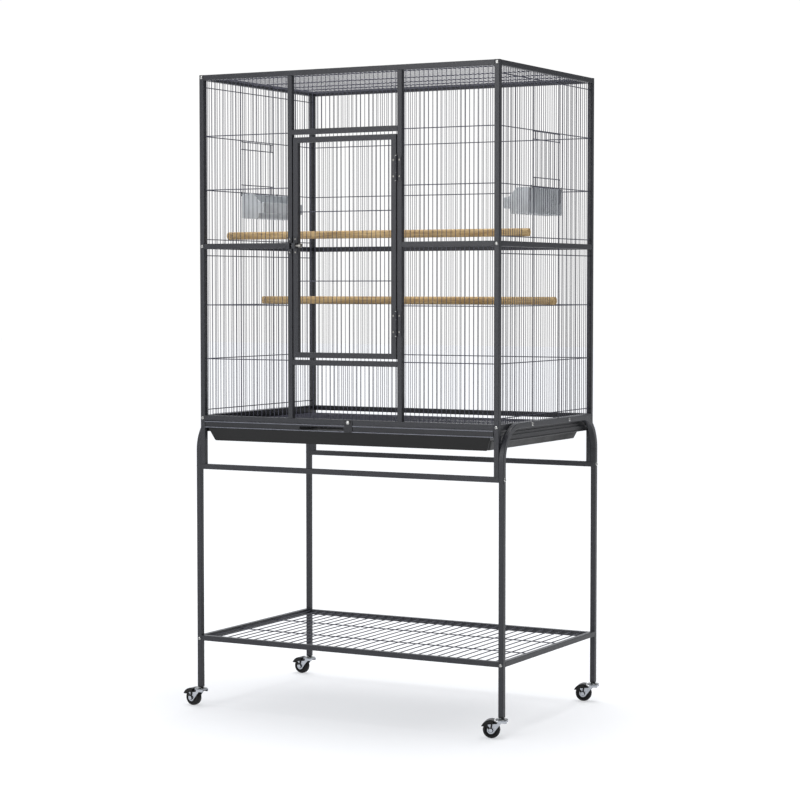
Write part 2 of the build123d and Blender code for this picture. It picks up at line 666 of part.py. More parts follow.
with BuildPart() as grate_bar:
    bar_height = GRATE_BAR_TOP_Z - GRATE_BAR_BOTTOM_Z
    with BuildSketch(wall_across_y(GRATE_FRONT_Y)):
        with Locations((0, GRATE_BAR_BOTTOM_Z + bar_height / 2)):
            Rectangle(GRATE_WIDTH, bar_height)
    extrude(amount=GRATE_FOLD)
    with BuildSketch(wall_across_y(-OUTER_Y)):
        with Locations((TAB_X, (GRATE_BAR_BOTTOM_Z + BOTTOM_RAIL_Z + TUBE / 2) / 2)):
            RectangleRounded(TAB_WIDTH, BOTTOM_RAIL_Z + TUBE / 2 - GRATE_BAR_BOTTOM_Z, TAB_CORNER)
    extrude(amount=GRATE_FOLD)
    with BuildSketch(Plane.XY.offset(GRATE_BAR_TOP_Z - GRATE_FOLD)):
        with Locations((0, -OUTER_Y + TUBE / 2)):
            Rectangle(GRATE_WIDTH, TUBE)
    extrude(amount=GRATE_FOLD)
    with BuildSketch(wall_across_y(-OUTER_Y)):
        with Locations((HANDLE_X, HANDLE_Z)):
            SlotOverall(HANDLE_LENGTH, HANDLE_HEIGHT)
    extrude(amount=2 * GRATE_FOLD, both=True, mode=Mode.SUBTRACT)
    drill([(TAB_X, -OUTER_Y - GRATE_FOLD, LOCK_Z)], ALONG_Y, LOCK_RADIUS + RUNNING, 4 * GRATE_FOLD)
finish(grate_bar, "grate_bar")

with BuildPart() as grate_wires:
    floor_wires = spread(0, GRATE_WIDTH - 2 * RUNNER_WIDTH, WIRE_PITCH)
    reach = (GRATE_FRONT_Y, GRATE_REAR_Y)
    half = GRATE_WIDTH / 2
    wire_grid(Plane.XY.offset(GRATE_TOP_Z - WIRE / 2), (-half, half), reach, floor_wires, GRATE_ROWS)
    runner_bottom = GRATE_LEDGE_Z + SHEET + PERCH_PLAY
    for side in BOTH:
        with BuildSketch(Plane.XY.offset(runner_bottom)):
            with Locations((side * (half - RUNNER_WIDTH / 2), sum(reach) / 2)):
                Rectangle(RUNNER_WIDTH, reach[1] - reach[0])
        extrude(amount=GRATE_TOP_Z - runner_bottom)
    with BuildSketch(Plane.XY.offset(GRATE_TOP_Z - 2 * WIRE)):
        with Locations((0, GRATE_REAR_Y - WIRE)):
            Rectangle(GRATE_WIDTH, 2 * WIRE)
    extrude(amount=2 * WIRE)
finish(grate_wires, "grate_wires")

with BuildPart() as grate_lock_screw:
    head_face = Plane(origin=(TAB_X, -OUTER_Y - GRATE_FOLD, LOCK_Z), z_dir=(0, -1, 0))
    with BuildSketch(head_face):
        RegularPolygon(LOCK_HEAD, 6)
    extrude(amount=LOCK_HEAD_HEIGHT)
    with BuildSketch(head_face):
        Circle(LOCK_RADIUS)
    extrude(amount=-LOCK_SHANK)
finish(grate_lock_screw, "grate_lock_screw")

SLOPE = radians(TRAY_SLOPE)
TRAY_LEAN = (TRAY_RIM_Z - TRAY_FLOOR_Z) * tan(SLOPE)
TRAY_MOUTH_LENGTH = TRAY_REAR_Y - TRAY_FRONT_Y


def tray_body(inset, floor_z, mode):
    """The tray's sloping body, or the space inside it when inset by the wall."""
    mouth_x = TRAY_MOUTH_WIDTH - 2 * inset
    mouth_y = TRAY_MOUTH_LENGTH - 2 * inset
    middle_y = (TRAY_FRONT_Y + TRAY_REAR_Y) / 2
    with BuildSketch(Plane.XY.offset(floor_z)) as base:
        with Locations((0, middle_y)):
            RectangleRounded(mouth_x - 2 * TRAY_LEAN, mouth_y - 2 * TRAY_LEAN, TRAY_CORNER)
    with BuildSketch(Plane.XY.offset(TRAY_RIM_Z)) as mouth:
        with Locations((0, middle_y)):
            RectangleRounded(mouth_x, mouth_y, TRAY_CORNER)
    loft([base.sketch.face(), mouth.sketch.face()], mode=mode)


with BuildPart() as tray:
    tray_body(0, TRAY_FLOOR_Z, Mode.ADD)
    rim_length = GRATE_REAR_Y - TRAY_FRONT_Y
    with BuildSketch(Plane.XY.offset(TRAY_RIM_Z - TRAY_WALL)):
        with Locations((0, GRATE_REAR_Y - rim_length / 2)):
            RectangleRounded(GRATE_WIDTH, rim_length, TRAY_RIM_CORNER)
    extrude(amount=TRAY_WALL)
    # the front wall leans out as much as the body's walls do, and stands above the rim
    front_foot = (0, TRAY_FRONT_Y + TRAY_LEAN, TRAY_FLOOR_Z)
    front_plane = Plane(origin=front_foot, x_dir=(1, 0, 0), z_dir=(0, -cos(SLOPE), -sin(SLOPE)))
    with BuildSketch(front_plane) as front:
        front_height = (TRAY_FRONT_TOP_Z - TRAY_FLOOR_Z) / cos(SLOPE)
        end_angle = degrees(atan(1 / sin(SLOPE)))
        with Locations((0, front_height / 2)):
            Trapezoid(TRAY_FRONT_WIDTH, front_height, end_angle, rotation=180)
        fillet(front.vertices().sort_by(Axis.Y)[:2], TRAY_FRONT_CORNER)
    extrude(amount=TRAY_FRONT_THICK)
    tray_body(TRAY_WALL, TRAY_FLOOR_Z + TRAY_WALL, Mode.SUBTRACT)
finish(tray, "tray")


# ---- stand ----
def stand_hoop(side, name):
    """Two legs and the top run of one side, bent from a single tube."""
    with BuildPart() as hoop:
        with BuildLine(Plane.YZ.offset(side * LEG_X)):
            FilletPolyline(
                (-POST_Y, LEG_FOOT_Z),
                (-POST_Y, BOTTOM_RAIL_Z),
                (POST_Y, BOTTOM_RAIL_Z),
                (POST_Y, LEG_FOOT_Z),
                radius=HOOP_BEND,
            )
        with BuildSketch(Plane(origin=(side * LEG_X, -POST_Y, LEG_FOOT_Z), z_dir=(0, 0, 1))):
            RectangleRounded(TUBE, TUBE, TUBE_CORNER)
            Rectangle(TUBE_BORE, TUBE_BORE, mode=Mode.SUBTRACT)
        sweep()
        brace_points = [(side * LEG_X, y, BRACE_Z) for y in (-POST_Y, POST_Y)]
        screw_points = [(side * LEG_X, y, BOTTOM_RAIL_Z) for y in HOOP_SCREW_Y]
        shelf_points = [(side * LEG_X, y, SHELF_Z) for y in (-POST_Y, POST_Y)]
        drill(brace_points + screw_points, ALONG_X, SCREW_RADIUS + SCREW_PLAY, TUBE + 2)
        drill(shelf_points, ALONG_Y, SCREW_RADIUS + SCREW_PLAY, TUBE + 2)
    finish(hoop, name)


stand_hoop(-1, "left_stand_hoop")
stand_hoop(1, "right_stand_hoop")

with BuildPart() as stand_braces:
    for y in (-POST_Y, POST_Y):
        tube_x(-OUTER_X, OUTER_X, y, BRACE_Z)
finish(stand_braces, "stand_braces")

with BuildPart() as shelf_frame:
    tube_x(-OUTER_X, OUTER_X, -POST_Y, SHELF_Z)
    tube_x(-OUTER_X, OUTER_X, POST_Y, SHELF_BACK_Z)
    for side in BOTH:
        tube_y(-INNER_Y + SLIP, INNER_Y - SLIP, side * LEG_X, SHELF_Z)
finish(shelf_frame, "shelf_frame")

with BuildPart() as shelf_wires:
    shelf_span = (-OUTER_X, OUTER_X)
    uprights = [i * SHELF_PITCH for i in range(-SHELF_SIDE_WIRES, SHELF_SIDE_WIRES + 1)]
    wire_grid(Plane.XY.offset(SHELF_Z), shelf_span, (-INNER_Y, INNER_Y), uprights, SHELF_ROWS)
finish(shelf_wires, "shelf_wires")

# ---- fasteners ----
BITE = TUBE + SCREW_BITE

with BuildPart() as frame_bolts:
    for x in (-POST_X, POST_X):
        for side in BOTH:
            for z in RAIL_LEVELS:
                dome_screw(Plane(origin=(x, side * OUTER_Y, z), z_dir=(0, -side, 0)), BITE)
finish(frame_bolts, "frame_bolts")

with BuildPart() as stand_bolts:
    for x_side in BOTH:
        for y_side in BOTH:
            brace_face = (x_side * STAND_X, y_side * POST_Y, BRACE_Z)
            dome_screw(Plane(origin=brace_face, z_dir=(-x_side, 0, 0)), BITE)
            shelf_face = (x_side * LEG_X, y_side * OUTER_Y, SHELF_Z)
            dome_screw(Plane(origin=shelf_face, z_dir=(0, -y_side, 0)), BITE)
        for y in HOOP_SCREW_Y:
            hoop_face = (x_side * STAND_X, y, BOTTOM_RAIL_Z)
            dome_screw(Plane(origin=hoop_face, z_dir=(-x_side, 0, 0)), TUBE + HOOP_SCREW_BITE)
finish(stand_bolts, "stand_bolts")


def tube_insert(start, direction):
    """A threaded plug pressed into the end of a tube."""
    with BuildSketch(Plane(origin=start, x_dir=(0, 0, 1), z_dir=direction)) as section:
        Rectangle(TUBE_BORE, TUBE_BORE)
        Circle(SCREW_RADIUS + RUNNING, mode=Mode.SUBTRACT)
    extrude(section.sketch, amount=INSERT_LENGTH)


with BuildPart() as tube_inserts:
    for x_side in BOTH:
        for y_side in BOTH:
            for z in RAIL_LEVELS:
                tube_insert((x_side * POST_X, y_side * INNER_Y, z), (0, -y_side, 0))
            tube_insert((x_side * OUTER_X, y_side * POST_Y, BRACE_Z), (-x_side, 0, 0))
            tube_insert((x_side * LEG_X, y_side * (INNER_Y - SLIP), SHELF_Z), (0, -y_side, 0))
finish(tube_inserts, "tube_inserts")

# ---- casters ----
with BuildPart() as caster_plugs:
    for x in (-LEG_X, LEG_X):
        for y in (-POST_Y, POST_Y):
            with BuildSketch(Plane.XY.offset(PLUG_FLANGE_Z)):
                with Locations((x, y)):
                    RectangleRounded(TUBE, TUBE, TUBE_CORNER)
                    Circle(STEM_RADIUS + RUNNING, mode=Mode.SUBTRACT)
            extrude(amount=LEG_FOOT_Z - PLUG_FLANGE_Z)
            with BuildSketch(Plane.XY.offset(LEG_FOOT_Z)):
                with Locations((x, y)):
                    Rectangle(TUBE_BORE - SLIP, TUBE_BORE - SLIP)
                    Circle(STEM_RADIUS + RUNNING, mode=Mode.SUBTRACT)
            extrude(amount=PLUG_LENGTH)
finish(caster_plugs, "caster_plugs")

EAR_INNER = WHEEL_WIDTH / 2 + EAR_GAP
EAR_OUTER = EAR_INNER + EAR_THICK


def wheel_plane(spot, shift):
    """Plane of the wheel at a spot: u trails, v is up, moved by shift along the axle."""
    x, y, heading = spot
    trail = Vector(cos(radians(heading)), sin(radians(heading)), 0)
    axle = Vector(trail.Y, -trail.X, 0)
    origin = Vector(x, y, WHEEL_RADIUS) + trail * CASTER_TRAIL + axle * shift
    return Plane(origin=origin, x_dir=trail, z_dir=axle)


def caster_fork(spot, name):
    """Stem, swivel head and the two ears that hold the axle."""
    x, y, _ = spot
    roof_v = FORK_ROOF_Z - WHEEL_RADIUS
    boss_radius, boss_height = HEAD_BOSS
    with BuildPart() as fork:
        with Locations((x, y, (HEAD_TOP_Z + FORK_ROOF_Z) / 2)):
            Cylinder(HEAD_RADIUS, HEAD_TOP_Z - FORK_ROOF_Z)
        with Locations((x, y, HEAD_TOP_Z + boss_height / 2)):
            Cylinder(boss_radius, boss_height)
        chamfer(fork.faces().sort_by(Axis.Z)[-1].edges(), HEAD_CHAMFER)
        with Locations((x, y, (HEAD_TOP_Z + STEM_TOP_Z) / 2)):
            Cylinder(STEM_RADIUS, STEM_TOP_Z - HEAD_TOP_Z)
        for shift in (-EAR_OUTER, EAR_INNER):
            with BuildSketch(wheel_plane(spot, shift)):
                with BuildLine():
                    Polyline(
                        (-CASTER_TRAIL - EAR_FRONT, roof_v + ROOF_THICK),
                        (-CASTER_TRAIL - EAR_FRONT, roof_v - EAR_SKIRT),
                        (-CASTER_TRAIL, roof_v - EAR_SKIRT),
                        (-0.7 * EAR_BOSS, -0.7 * EAR_BOSS),
                        (0, EAR_BOSS),
                        (ROOF_REACH - CASTER_TRAIL - EAR_SKIRT, roof_v + ROOF_THICK),
                        close=True,
                    )
                make_face()
                Circle(EAR_BOSS)
                Circle(AXLE_RADIUS + TIGHT, mode=Mode.SUBTRACT)
            extrude(amount=EAR_THICK)
        with BuildSketch(wheel_plane(spot, -EAR_OUTER)):
            with Locations(((ROOF_REACH - EAR_FRONT) / 2 - CASTER_TRAIL, roof_v + ROOF_THICK / 2)):
                Rectangle(EAR_FRONT + ROOF_REACH, ROOF_THICK)
        extrude(amount=2 * EAR_OUTER)
    finish(fork, name)


def caster_wheel(spot, name):
    """A moulded wheel with a rounded tread, dished sides and a hub."""
    with BuildPart() as wheel:
        with BuildSketch(wheel_plane(spot, -WHEEL_WIDTH / 2)):
            Circle(WHEEL_RADIUS)
        extrude(amount=WHEEL_WIDTH)
        fillet(wheel.edges().filter_by(GeomType.CIRCLE), WHEEL_ROUND)
        for shift, way in ((-WHEEL_WIDTH / 2, 1), (WHEEL_WIDTH / 2, -1)):
            with BuildSketch(wheel_plane(spot, shift)):
                Circle(DISH[1])
                Circle(DISH[0], mode=Mode.SUBTRACT)
            extrude(amount=way * DISH_DEPTH, mode=Mode.SUBTRACT)
        with BuildSketch(wheel_plane(spot, -WHEEL_WIDTH / 2)):
            Circle(AXLE_RADIUS + RUNNING)
        extrude(amount=WHEEL_WIDTH, mode=Mode.SUBTRACT)
    finish(wheel, name)


ARM_INNER = EAR_OUTER + ARM_GAP
ARM_OUTER = ARM_INNER + ARM_THICK
AXLE_END = ARM_OUTER + KNUCKLE_GAP


def caster_axle(spot, name):
    """Axle bolt with a round head at one end and a nut at the other."""
    with BuildPart() as axle:
        with BuildSketch(wheel_plane(spot, -AXLE_END)):
            Circle(AXLE_RADIUS)
        extrude(amount=2 * AXLE_END)
        with BuildSketch(wheel_plane(spot, -AXLE_END)):
            RegularPolygon(NUT_RADIUS, 6)
        extrude(amount=-NUT_HEIGHT)
        with BuildSketch(wheel_plane(spot, AXLE_END)):
            Circle(BOLT_HEAD[0])
        extrude(amount=BOLT_HEAD[1])
    finish(axle, name)


def round_wheel(radius, angle):
    """A point in the wheel's plane, at an angle up from its trailing side."""
    return (radius * cos(radians(angle)), radius * sin(radians(angle)))


def caster_brake(spot, name):
    """A hood over the back of the wheel, swung on the axle by two arms."""
    with BuildPart() as brake:
        with BuildSketch(wheel_plane(spot, -ARM_OUTER)):
            with BuildLine():
                CenterArc((0, 0), BRAKE_OUTER, BRAKE_FROM, BRAKE_TO - BRAKE_FROM)
                CenterArc((0, 0), BRAKE_INNER, BRAKE_FROM, BRAKE_TO - BRAKE_FROM)
                for angle in (BRAKE_FROM, BRAKE_TO):
                    PolarLine(round_wheel(BRAKE_INNER, angle), BRAKE_OUTER - BRAKE_INNER, angle)
            make_face()
        extrude(amount=2 * ARM_OUTER)
        for shift in (-ARM_OUTER, ARM_INNER):
            with BuildSketch(wheel_plane(spot, shift)):
                with BuildLine():
                    rear = round_wheel(BRAKE_INNER + 1, BRAKE_FROM + 8)
                    front = round_wheel(BRAKE_INNER + 1, BRAKE_TO - 18)
                    Polyline((0, 0), rear, front, close=True)
                make_face()
                Circle(ARM_BOSS)
                Circle(AXLE_RADIUS + RUNNING, mode=Mode.SUBTRACT)
            extrude(amount=ARM_OUTER - ARM_INNER)
    finish(brake, name)


# each caster's leg, and the direction in which its wheel trails, in degrees from +X
CASTER_SPOTS = {
    "front_left": (-LEG_X, -POST_Y, 174.0),
    "front_right": (LEG_X, -POST_Y, 197.0),
    "back_left": (-LEG_X, POST_Y, 178.0),
    "back_right": (LEG_X, POST_Y, 192.0),
}
for corner, spot in CASTER_SPOTS.items():
    caster_fork(spot, f"{corner}_caster_fork")
    caster_wheel(spot, f"{corner}_caster_wheel")
    caster_axle(spot, f"{corner}_caster_axle")
    caster_brake(spot, f"{corner}_caster_brake")
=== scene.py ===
import bpy
import bmesh
import json
from math import acos, atan2, cos, degrees, hypot, pi, radians, sin
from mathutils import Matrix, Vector


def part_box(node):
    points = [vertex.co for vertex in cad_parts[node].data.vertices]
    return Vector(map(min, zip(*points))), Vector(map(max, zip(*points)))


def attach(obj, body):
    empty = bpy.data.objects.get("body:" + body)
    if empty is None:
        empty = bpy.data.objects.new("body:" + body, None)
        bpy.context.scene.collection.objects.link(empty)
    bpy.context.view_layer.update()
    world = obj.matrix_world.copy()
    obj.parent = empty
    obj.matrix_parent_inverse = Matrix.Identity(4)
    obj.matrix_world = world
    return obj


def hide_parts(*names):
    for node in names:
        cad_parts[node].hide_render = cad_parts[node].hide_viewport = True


# A flight cage for small birds on a rolling stand. Metres, +Z up, the door faces -Y, and the origin
# is on the floor under the middle of the cage. Round wires, moulded cups, screw heads, folded
# guides and stamped casters stand for their CAD nodes; the other nodes stay as they are.

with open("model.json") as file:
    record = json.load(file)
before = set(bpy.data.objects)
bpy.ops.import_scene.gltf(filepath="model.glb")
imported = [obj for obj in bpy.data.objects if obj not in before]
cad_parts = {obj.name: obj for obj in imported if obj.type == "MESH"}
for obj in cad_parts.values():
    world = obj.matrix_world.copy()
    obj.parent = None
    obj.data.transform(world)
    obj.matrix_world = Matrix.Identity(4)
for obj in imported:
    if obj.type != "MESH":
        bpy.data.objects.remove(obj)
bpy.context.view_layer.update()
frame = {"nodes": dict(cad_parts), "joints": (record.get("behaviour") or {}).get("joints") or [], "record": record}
nodes = frame["nodes"]

# ---- sizes of the stock that the cage is made of ----
TUBE = 0.0127
WIRE_RADIUS = 0.00073         # the close upright wires
ROW_RADIUS = 0.00115          # the wires that cross and brace them
SHELF_RADIUS = 0.00125
GUIDE_RADIUS = 0.00105        # the wires that the cup doors slide on, here and in the CAD
GUIDE_CAD_RADIUS = 0.0015
WELD = 0.85                   # welded wires lie this share of their radii apart
SIDE_LIFT = 0.0006            # the side walls' uprights stand this far outside their rows
WIRE_PITCH = 0.0118
SIDE_PITCH = 0.0119
SHELF_PITCH = 0.0254
ROOF_ROWS = (-0.198, -0.045, 0.056, 0.133)
MID_RAIL_Z = 1.13335
UPPER_ROWS = (1.520, 1.401, 1.2705, 1.1505)
LOWER_ROWS = (1.111, 0.9905, 0.859, 0.734)
DOOR_ROWS = (1.213, 1.0485)
SHELF_ROWS = (-0.080, 0.088)
GRATE_ROWS = (-0.205, -0.105, -0.005, 0.095, 0.195)
CASTERS = ("front_left", "front_right", "back_left", "back_right")
SIDES = (("left", -1), ("right", 1))
X, Y, Z = Vector((1, 0, 0)), Vector((0, 1, 0)), Vector((0, 0, 1))
HEX_POINTS = 36               # points round a hexagon's outline


# ---- materials ----
class Shader:
    """A Principled material whose nodes are added one by one, in object space."""

    def __init__(self, name, **inputs):
        self.material = bpy.data.materials.new(name)
        self.material.use_nodes = True
        self.tree = self.material.node_tree
        self.surface = self.tree.nodes["Principled BSDF"]
        for key, value in inputs.items():
            self.surface.inputs[key.replace("_", " ")].default_value = value
        self.space = self.tree.nodes.new("ShaderNodeTexCoord").outputs["Object"]

    def link(self, output, target):
        self.tree.links.new(output, target)

    def stretched(self, scale):
        """Object space, stretched along its axes."""
        mapping = self.tree.nodes.new("ShaderNodeMapping")
        mapping.inputs["Scale"].default_value = scale
        self.link(self.space, mapping.inputs["Vector"])
        return mapping.outputs["Vector"]

    def noise(self, scale, detail=2.0, space=None, roughness=0.5):
        texture = self.tree.nodes.new("ShaderNodeTexNoise")
        texture.inputs["Scale"].default_value = scale
        texture.inputs["Detail"].default_value = detail
        texture.inputs["Roughness"].default_value = roughness
        self.link(space or self.space, texture.inputs["Vector"])
        return texture.outputs["Fac"]

    def cells(self, scale):
        texture = self.tree.nodes.new("ShaderNodeTexVoronoi")
        texture.inputs["Scale"].default_value = scale
        self.link(self.space, texture.inputs["Vector"])
        return texture.outputs["Distance"]

    def ramp(self, value, *stops):
        """Colours at positions 0 to 1 of a value."""
        ramp = self.tree.nodes.new("ShaderNodeValToRGB")
        elements = ramp.color_ramp.elements
        while len(elements) < len(stops):
            elements.new(0.5)
        for element, (position, colour) in zip(elements, stops):
            element.position = position
            element.color = (*colour, 1.0)
        self.link(value, ramp.inputs["Fac"])
        return ramp.outputs["Color"]

    def mix(self, first, second, share, blend="MIX"):
        node = self.tree.nodes.new("ShaderNodeMix")
        node.data_type = "RGBA"
        node.blend_type = blend
        if isinstance(share, float):
            node.inputs["Factor"].default_value = share
        else:
            self.link(share, node.inputs["Factor"])
        self.link(first, node.inputs[6])
        self.link(second, node.inputs[7])
        return node.outputs[2]

    def spread(self, value, low, high):
        """A value from 0 to 1, spread from low to high."""
        node = self.tree.nodes.new("ShaderNodeMapRange")
        node.inputs["From Min"].default_value = 0.3
        node.inputs["From Max"].default_value = 0.7
        node.inputs["To Min"].default_value = low
        node.inputs["To Max"].default_value = high
        self.link(value, node.inputs["Value"])
        return node.outputs["Result"]

    def colour(self, output):
        self.link(output, self.surface.inputs["Base Color"])

    def roughness(self, value, low, high):
        self.link(self.spread(value, low, high), self.surface.inputs["Roughness"])

    def bump(self, height, distance, strength=0.5):
        node = self.tree.nodes.new("ShaderNodeBump")
        node.inputs["Distance"].default_value = distance
        node.inputs["Strength"].default_value = strength
        self.link(height, node.inputs["Height"])
        last = self.surface.inputs["Normal"]
        if last.is_linked:
            self.link(last.links[0].from_socket, node.inputs["Normal"])
        self.link(node.outputs["Normal"], last)


def shade(level, tint=(1.0, 1.0, 1.0)):
    return tuple(level * part for part in tint)


COOL = (0.94, 0.97, 1.14)
VIOLET = (0.92, 0.93, 1.32)


def powder_coat(name, level, fleck, rough, tint=COOL):
    """Hammertone powder coat: dark, with fine pale flecks and a pebbled gloss."""
    coat = Shader(name, Specular_IOR_Level=0.32)
    grain = coat.noise(1400.0, 3.0)
    drift = coat.noise(35.0, 2.0)
    dark = shade(level * 0.6, tint)
    base = coat.ramp(grain, (0.36, dark), (0.52, shade(level, tint)), (0.7, shade(fleck, tint)))
    haze = coat.ramp(drift, (0.3, shade(0.88)), (0.7, shade(1.0)))
    coat.colour(coat.mix(base, haze, 1.0, "MULTIPLY"))
    coat.roughness(grain, rough - 0.08, rough + 0.1)
    coat.bump(coat.cells(620.0), 0.00025, 0.35)
    coat.bump(grain, 0.00008, 0.4)
    return coat.material


def plated(name, level, rough, tint=(1.0, 1.0, 1.0)):
    """Bright plated metal with faint cloudiness and fine scratches."""
    metal = Shader(name, Metallic=1.0)
    cloud = metal.noise(260.0, 3.0)
    scratch = metal.noise(900.0, 2.0, metal.stretched((1.0, 1.0, 0.08)))
    metal.colour(metal.ramp(cloud, (0.3, shade(level * 0.84, tint)), (0.7, shade(level, tint))))
    metal.roughness(scratch, rough * 0.7, rough * 1.35)
    metal.bump(scratch, 0.00003, 0.3)
    return metal.material


def moulded(name, level, rough, grain_size=1500.0, tint=(1.0, 1.0, 1.0)):
    """Moulded plastic with a fine spark-eroded grain."""
    plastic = Shader(name, Specular_IOR_Level=0.3)
    grain = plastic.noise(grain_size, 2.0)
    flow = plastic.noise(28.0, 3.0)
    low, high = shade(level * 0.88, tint), shade(level * 1.1, tint)
    plastic.colour(plastic.ramp(flow, (0.3, low), (0.7, high)))
    plastic.roughness(flow, rough - 0.05, rough + 0.07)
    plastic.bump(grain, 0.00006, 0.35)
    return plastic.material


def dowel_wood():
    """Bare sanded softwood with its grain along X."""
    wood = Shader("perch_wood")
    grain = wood.noise(520.0, 4.0, wood.stretched((0.045, 1.0, 1.0)), 0.62)
    bands = wood.noise(70.0, 2.0, wood.stretched((0.10, 1.0, 1.0)))
    patches = wood.noise(9.0, 1.0)
    honey, pale, tan = (0.44, 0.285, 0.12), (0.61, 0.44, 0.22), (0.49, 0.33, 0.15)
    timber = wood.ramp(bands, (0.3, honey), (0.5, pale), (0.72, tan))
    dark, light = (0.55, 0.48, 0.40), (0.93, 0.92, 0.90)
    streaks = wood.ramp(grain, (0.33, dark), (0.5, light), (0.7, (1.0, 1.0, 1.0)))
    weathered = wood.ramp(patches, (0.35, (0.86, 0.84, 0.82)), (0.65, (1.0, 1.0, 1.0)))
    streaked = wood.mix(timber, streaks, 1.0, "MULTIPLY")
    wood.colour(wood.mix(streaked, weathered, 1.0, "MULTIPLY"))
    wood.roughness(grain, 0.62, 0.8)
    wood.bump(grain, 0.0002, 0.4)
    return wood.material


def tyre_rubber():
    rubber = Shader("wheel_rubber", Specular_IOR_Level=0.25)
    dust = rubber.noise(180.0, 4.0)
    rubber.colour(rubber.ramp(dust, (0.35, shade(0.005)), (0.7, shade(0.012))))
    rubber.roughness(dust, 0.42, 0.6)
    rubber.bump(rubber.noise(2200.0), 0.00005, 0.3)
    return rubber.material


FINISH = {
    "frame_coat": powder_coat("frame_coat", 0.025, 0.085, 0.34),
    "wire_coat": powder_coat("wire_coat", 0.068, 0.12, 0.38, VIOLET),
    # a pale copy of the frame's dark coat, a painted highlight on the grate bar's rolled edges
    "painted_highlight_coat": powder_coat("painted_highlight_coat", 0.2, 0.3, 0.3),
    "sheet_coat": powder_coat("sheet_coat", 0.016, 0.05, 0.34),
    "hardware_coat": powder_coat("hardware_coat", 0.03, 0.06, 0.3),
    "zinc": plated("zinc", 0.5, 0.26, (1.0, 1.0, 0.97)),
    "hook_strip": plated("hook_strip", 0.66, 0.34),
    "cup_plastic": moulded("cup_plastic", 0.6, 0.4, 1500.0, (0.96, 1.0, 1.03)),
    "tray_plastic": moulded("tray_plastic", 0.004, 0.42, 900.0),
    "black_plastic": moulded("black_plastic", 0.004, 0.36),
    "perch_wood": dowel_wood(),
    "bolt_metal": plated("bolt_metal", 0.3, 0.3, (1.0, 0.97, 0.9)),
    "caster_metal": plated("caster_metal", 0.52, 0.2, (0.94, 0.98, 1.05)),
    "race_metal": plated("race_metal", 0.22, 0.24, (0.96, 1.0, 1.0)),
    "wheel_rubber": tyre_rubber(),
}
SLOT_OF = {part["node"]: part["material_slot"] for part in frame["record"]["subparts"]}


# ---- mesh tools ----
def piece(name, body, slot, replaced=(), finish=None, smooth=40.0):
    """Turns a bmesh made by the decorated function into a piece that rides on a body."""
    def build(draw):
        mesh = bpy.data.meshes.new(name)
        shape = bmesh.new()
        draw(shape)
        bmesh.ops.recalc_face_normals(shape, faces=shape.faces)
        shape.to_mesh(mesh)
        shape.free()
        mesh.shade_smooth()
        mesh.set_sharp_from_angle(angle=radians(smooth))
        mesh.materials.append(FINISH[finish or slot])
        made = bpy.data.objects.new(name, mesh)
        bpy.context.scene.collection.objects.link(made)
        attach(made, body)
        if replaced:
            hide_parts(*replaced)
        return made
    return build


def across(direction):
    """Two directions square to one another and to the given one."""
    helper = X if abs(direction.x) < 0.9 else Y
    first = direction.cross(helper).normalized()
    return first, direction.cross(first).normalized()


def ring(shape, centre, first, second, outline):
    return [shape.verts.new(centre + first * u + second * v) for u, v in outline]


def circle(radius, count):
    angles = [2 * pi * i / count for i in range(count)]
    return [(radius * cos(a), radius * sin(a)) for a in angles]


def skin(shape, rings):
    """Joins rings of equal count into a closed skin, with a flat cap at each end."""
    for low, high in zip(rings, rings[1:]):
        for i in range(len(low)):
            j = (i + 1) % len(low)
            shape.faces.new((low[i], low[j], high[j], high[i]))
    shape.faces.new(list(reversed(rings[0])))
    shape.faces.new(rings[-1])


def rod(shape, start, end, radius, count=10):
    """A straight round wire."""
    direction = (end - start).normalized()
    first, second = across(direction)
    skin(shape, [ring(shape, at, first, second, circle(radius, count)) for at in (start, end)])


def bent_rod(shape, points, radius, count=10):
    """A round wire through a list of points."""
    rings = []
    first = across((points[1] - points[0]).normalized())[0]
    for i, at in enumerate(points):
        before = points[max(i - 1, 0)]
        after = points[min(i + 1, len(points) - 1)]
        direction = (after - before).normalized()
        second = direction.cross(first).normalized()
        first = second.cross(direction).normalized()
        rings.append(ring(shape, at, first, second, circle(radius, count)))
    skin(shape, rings)


def lathe(shape, origin, axis, profile, count=32):
    """A turned shape: profile is a list of (radius, height along the axis)."""
    first, second = across(axis)
    rings = []
    for radius, height in profile:
        outline = circle(radius, count)
        rings.append(ring(shape, origin + axis * height, first, second, outline))
    skin(shape, rings)


def hexagon_radius(angle, flat):
    """Distance from the middle of a hexagon to its side at an angle."""
    return flat / cos((angle + pi / 6) % (pi / 3) - pi / 6)


def hexagon(flat, share=1.0, blend=1.0):
    """A hexagon's outline, scaled by share; blend 0 would round it to a circle."""
    points = []
    for i in range(HEX_POINTS):
        angle = 2 * pi * i / HEX_POINTS
        radius = share * (blend * hexagon_radius(angle, flat) + (1 - blend) * flat)
        points.append((radius * cos(angle), radius * sin(angle)))
    return points


def screw_head(shape, at, axis, radius, height, socket=0.45):
    """A domed screw head with a hexagonal socket."""
    first, second = across(axis)
    dome = ((1.0, 0.0), (1.0, 0.25), (0.93, 0.55), (0.8, 0.8), (0.66, 0.94), (0.56, 1.0))
    rings = []
    for share, lift in dome:
        outline = circle(radius * share, HEX_POINTS)
        rings.append(ring(shape, at + axis * height * lift, first, second, outline))
    for depth in (1.0, 0.35):
        outline = hexagon(radius * socket)
        rings.append(ring(shape, at + axis * height * depth, first, second, outline))
    skin(shape, rings)


def prism(shape, origin, first, second, outline, thickness):
    """A flat plate: an outline in the plane of first and second, thickened along its normal."""
    far = origin + first.cross(second).normalized() * thickness
    skin(shape, [ring(shape, at, first, second, outline) for at in (origin, far)])


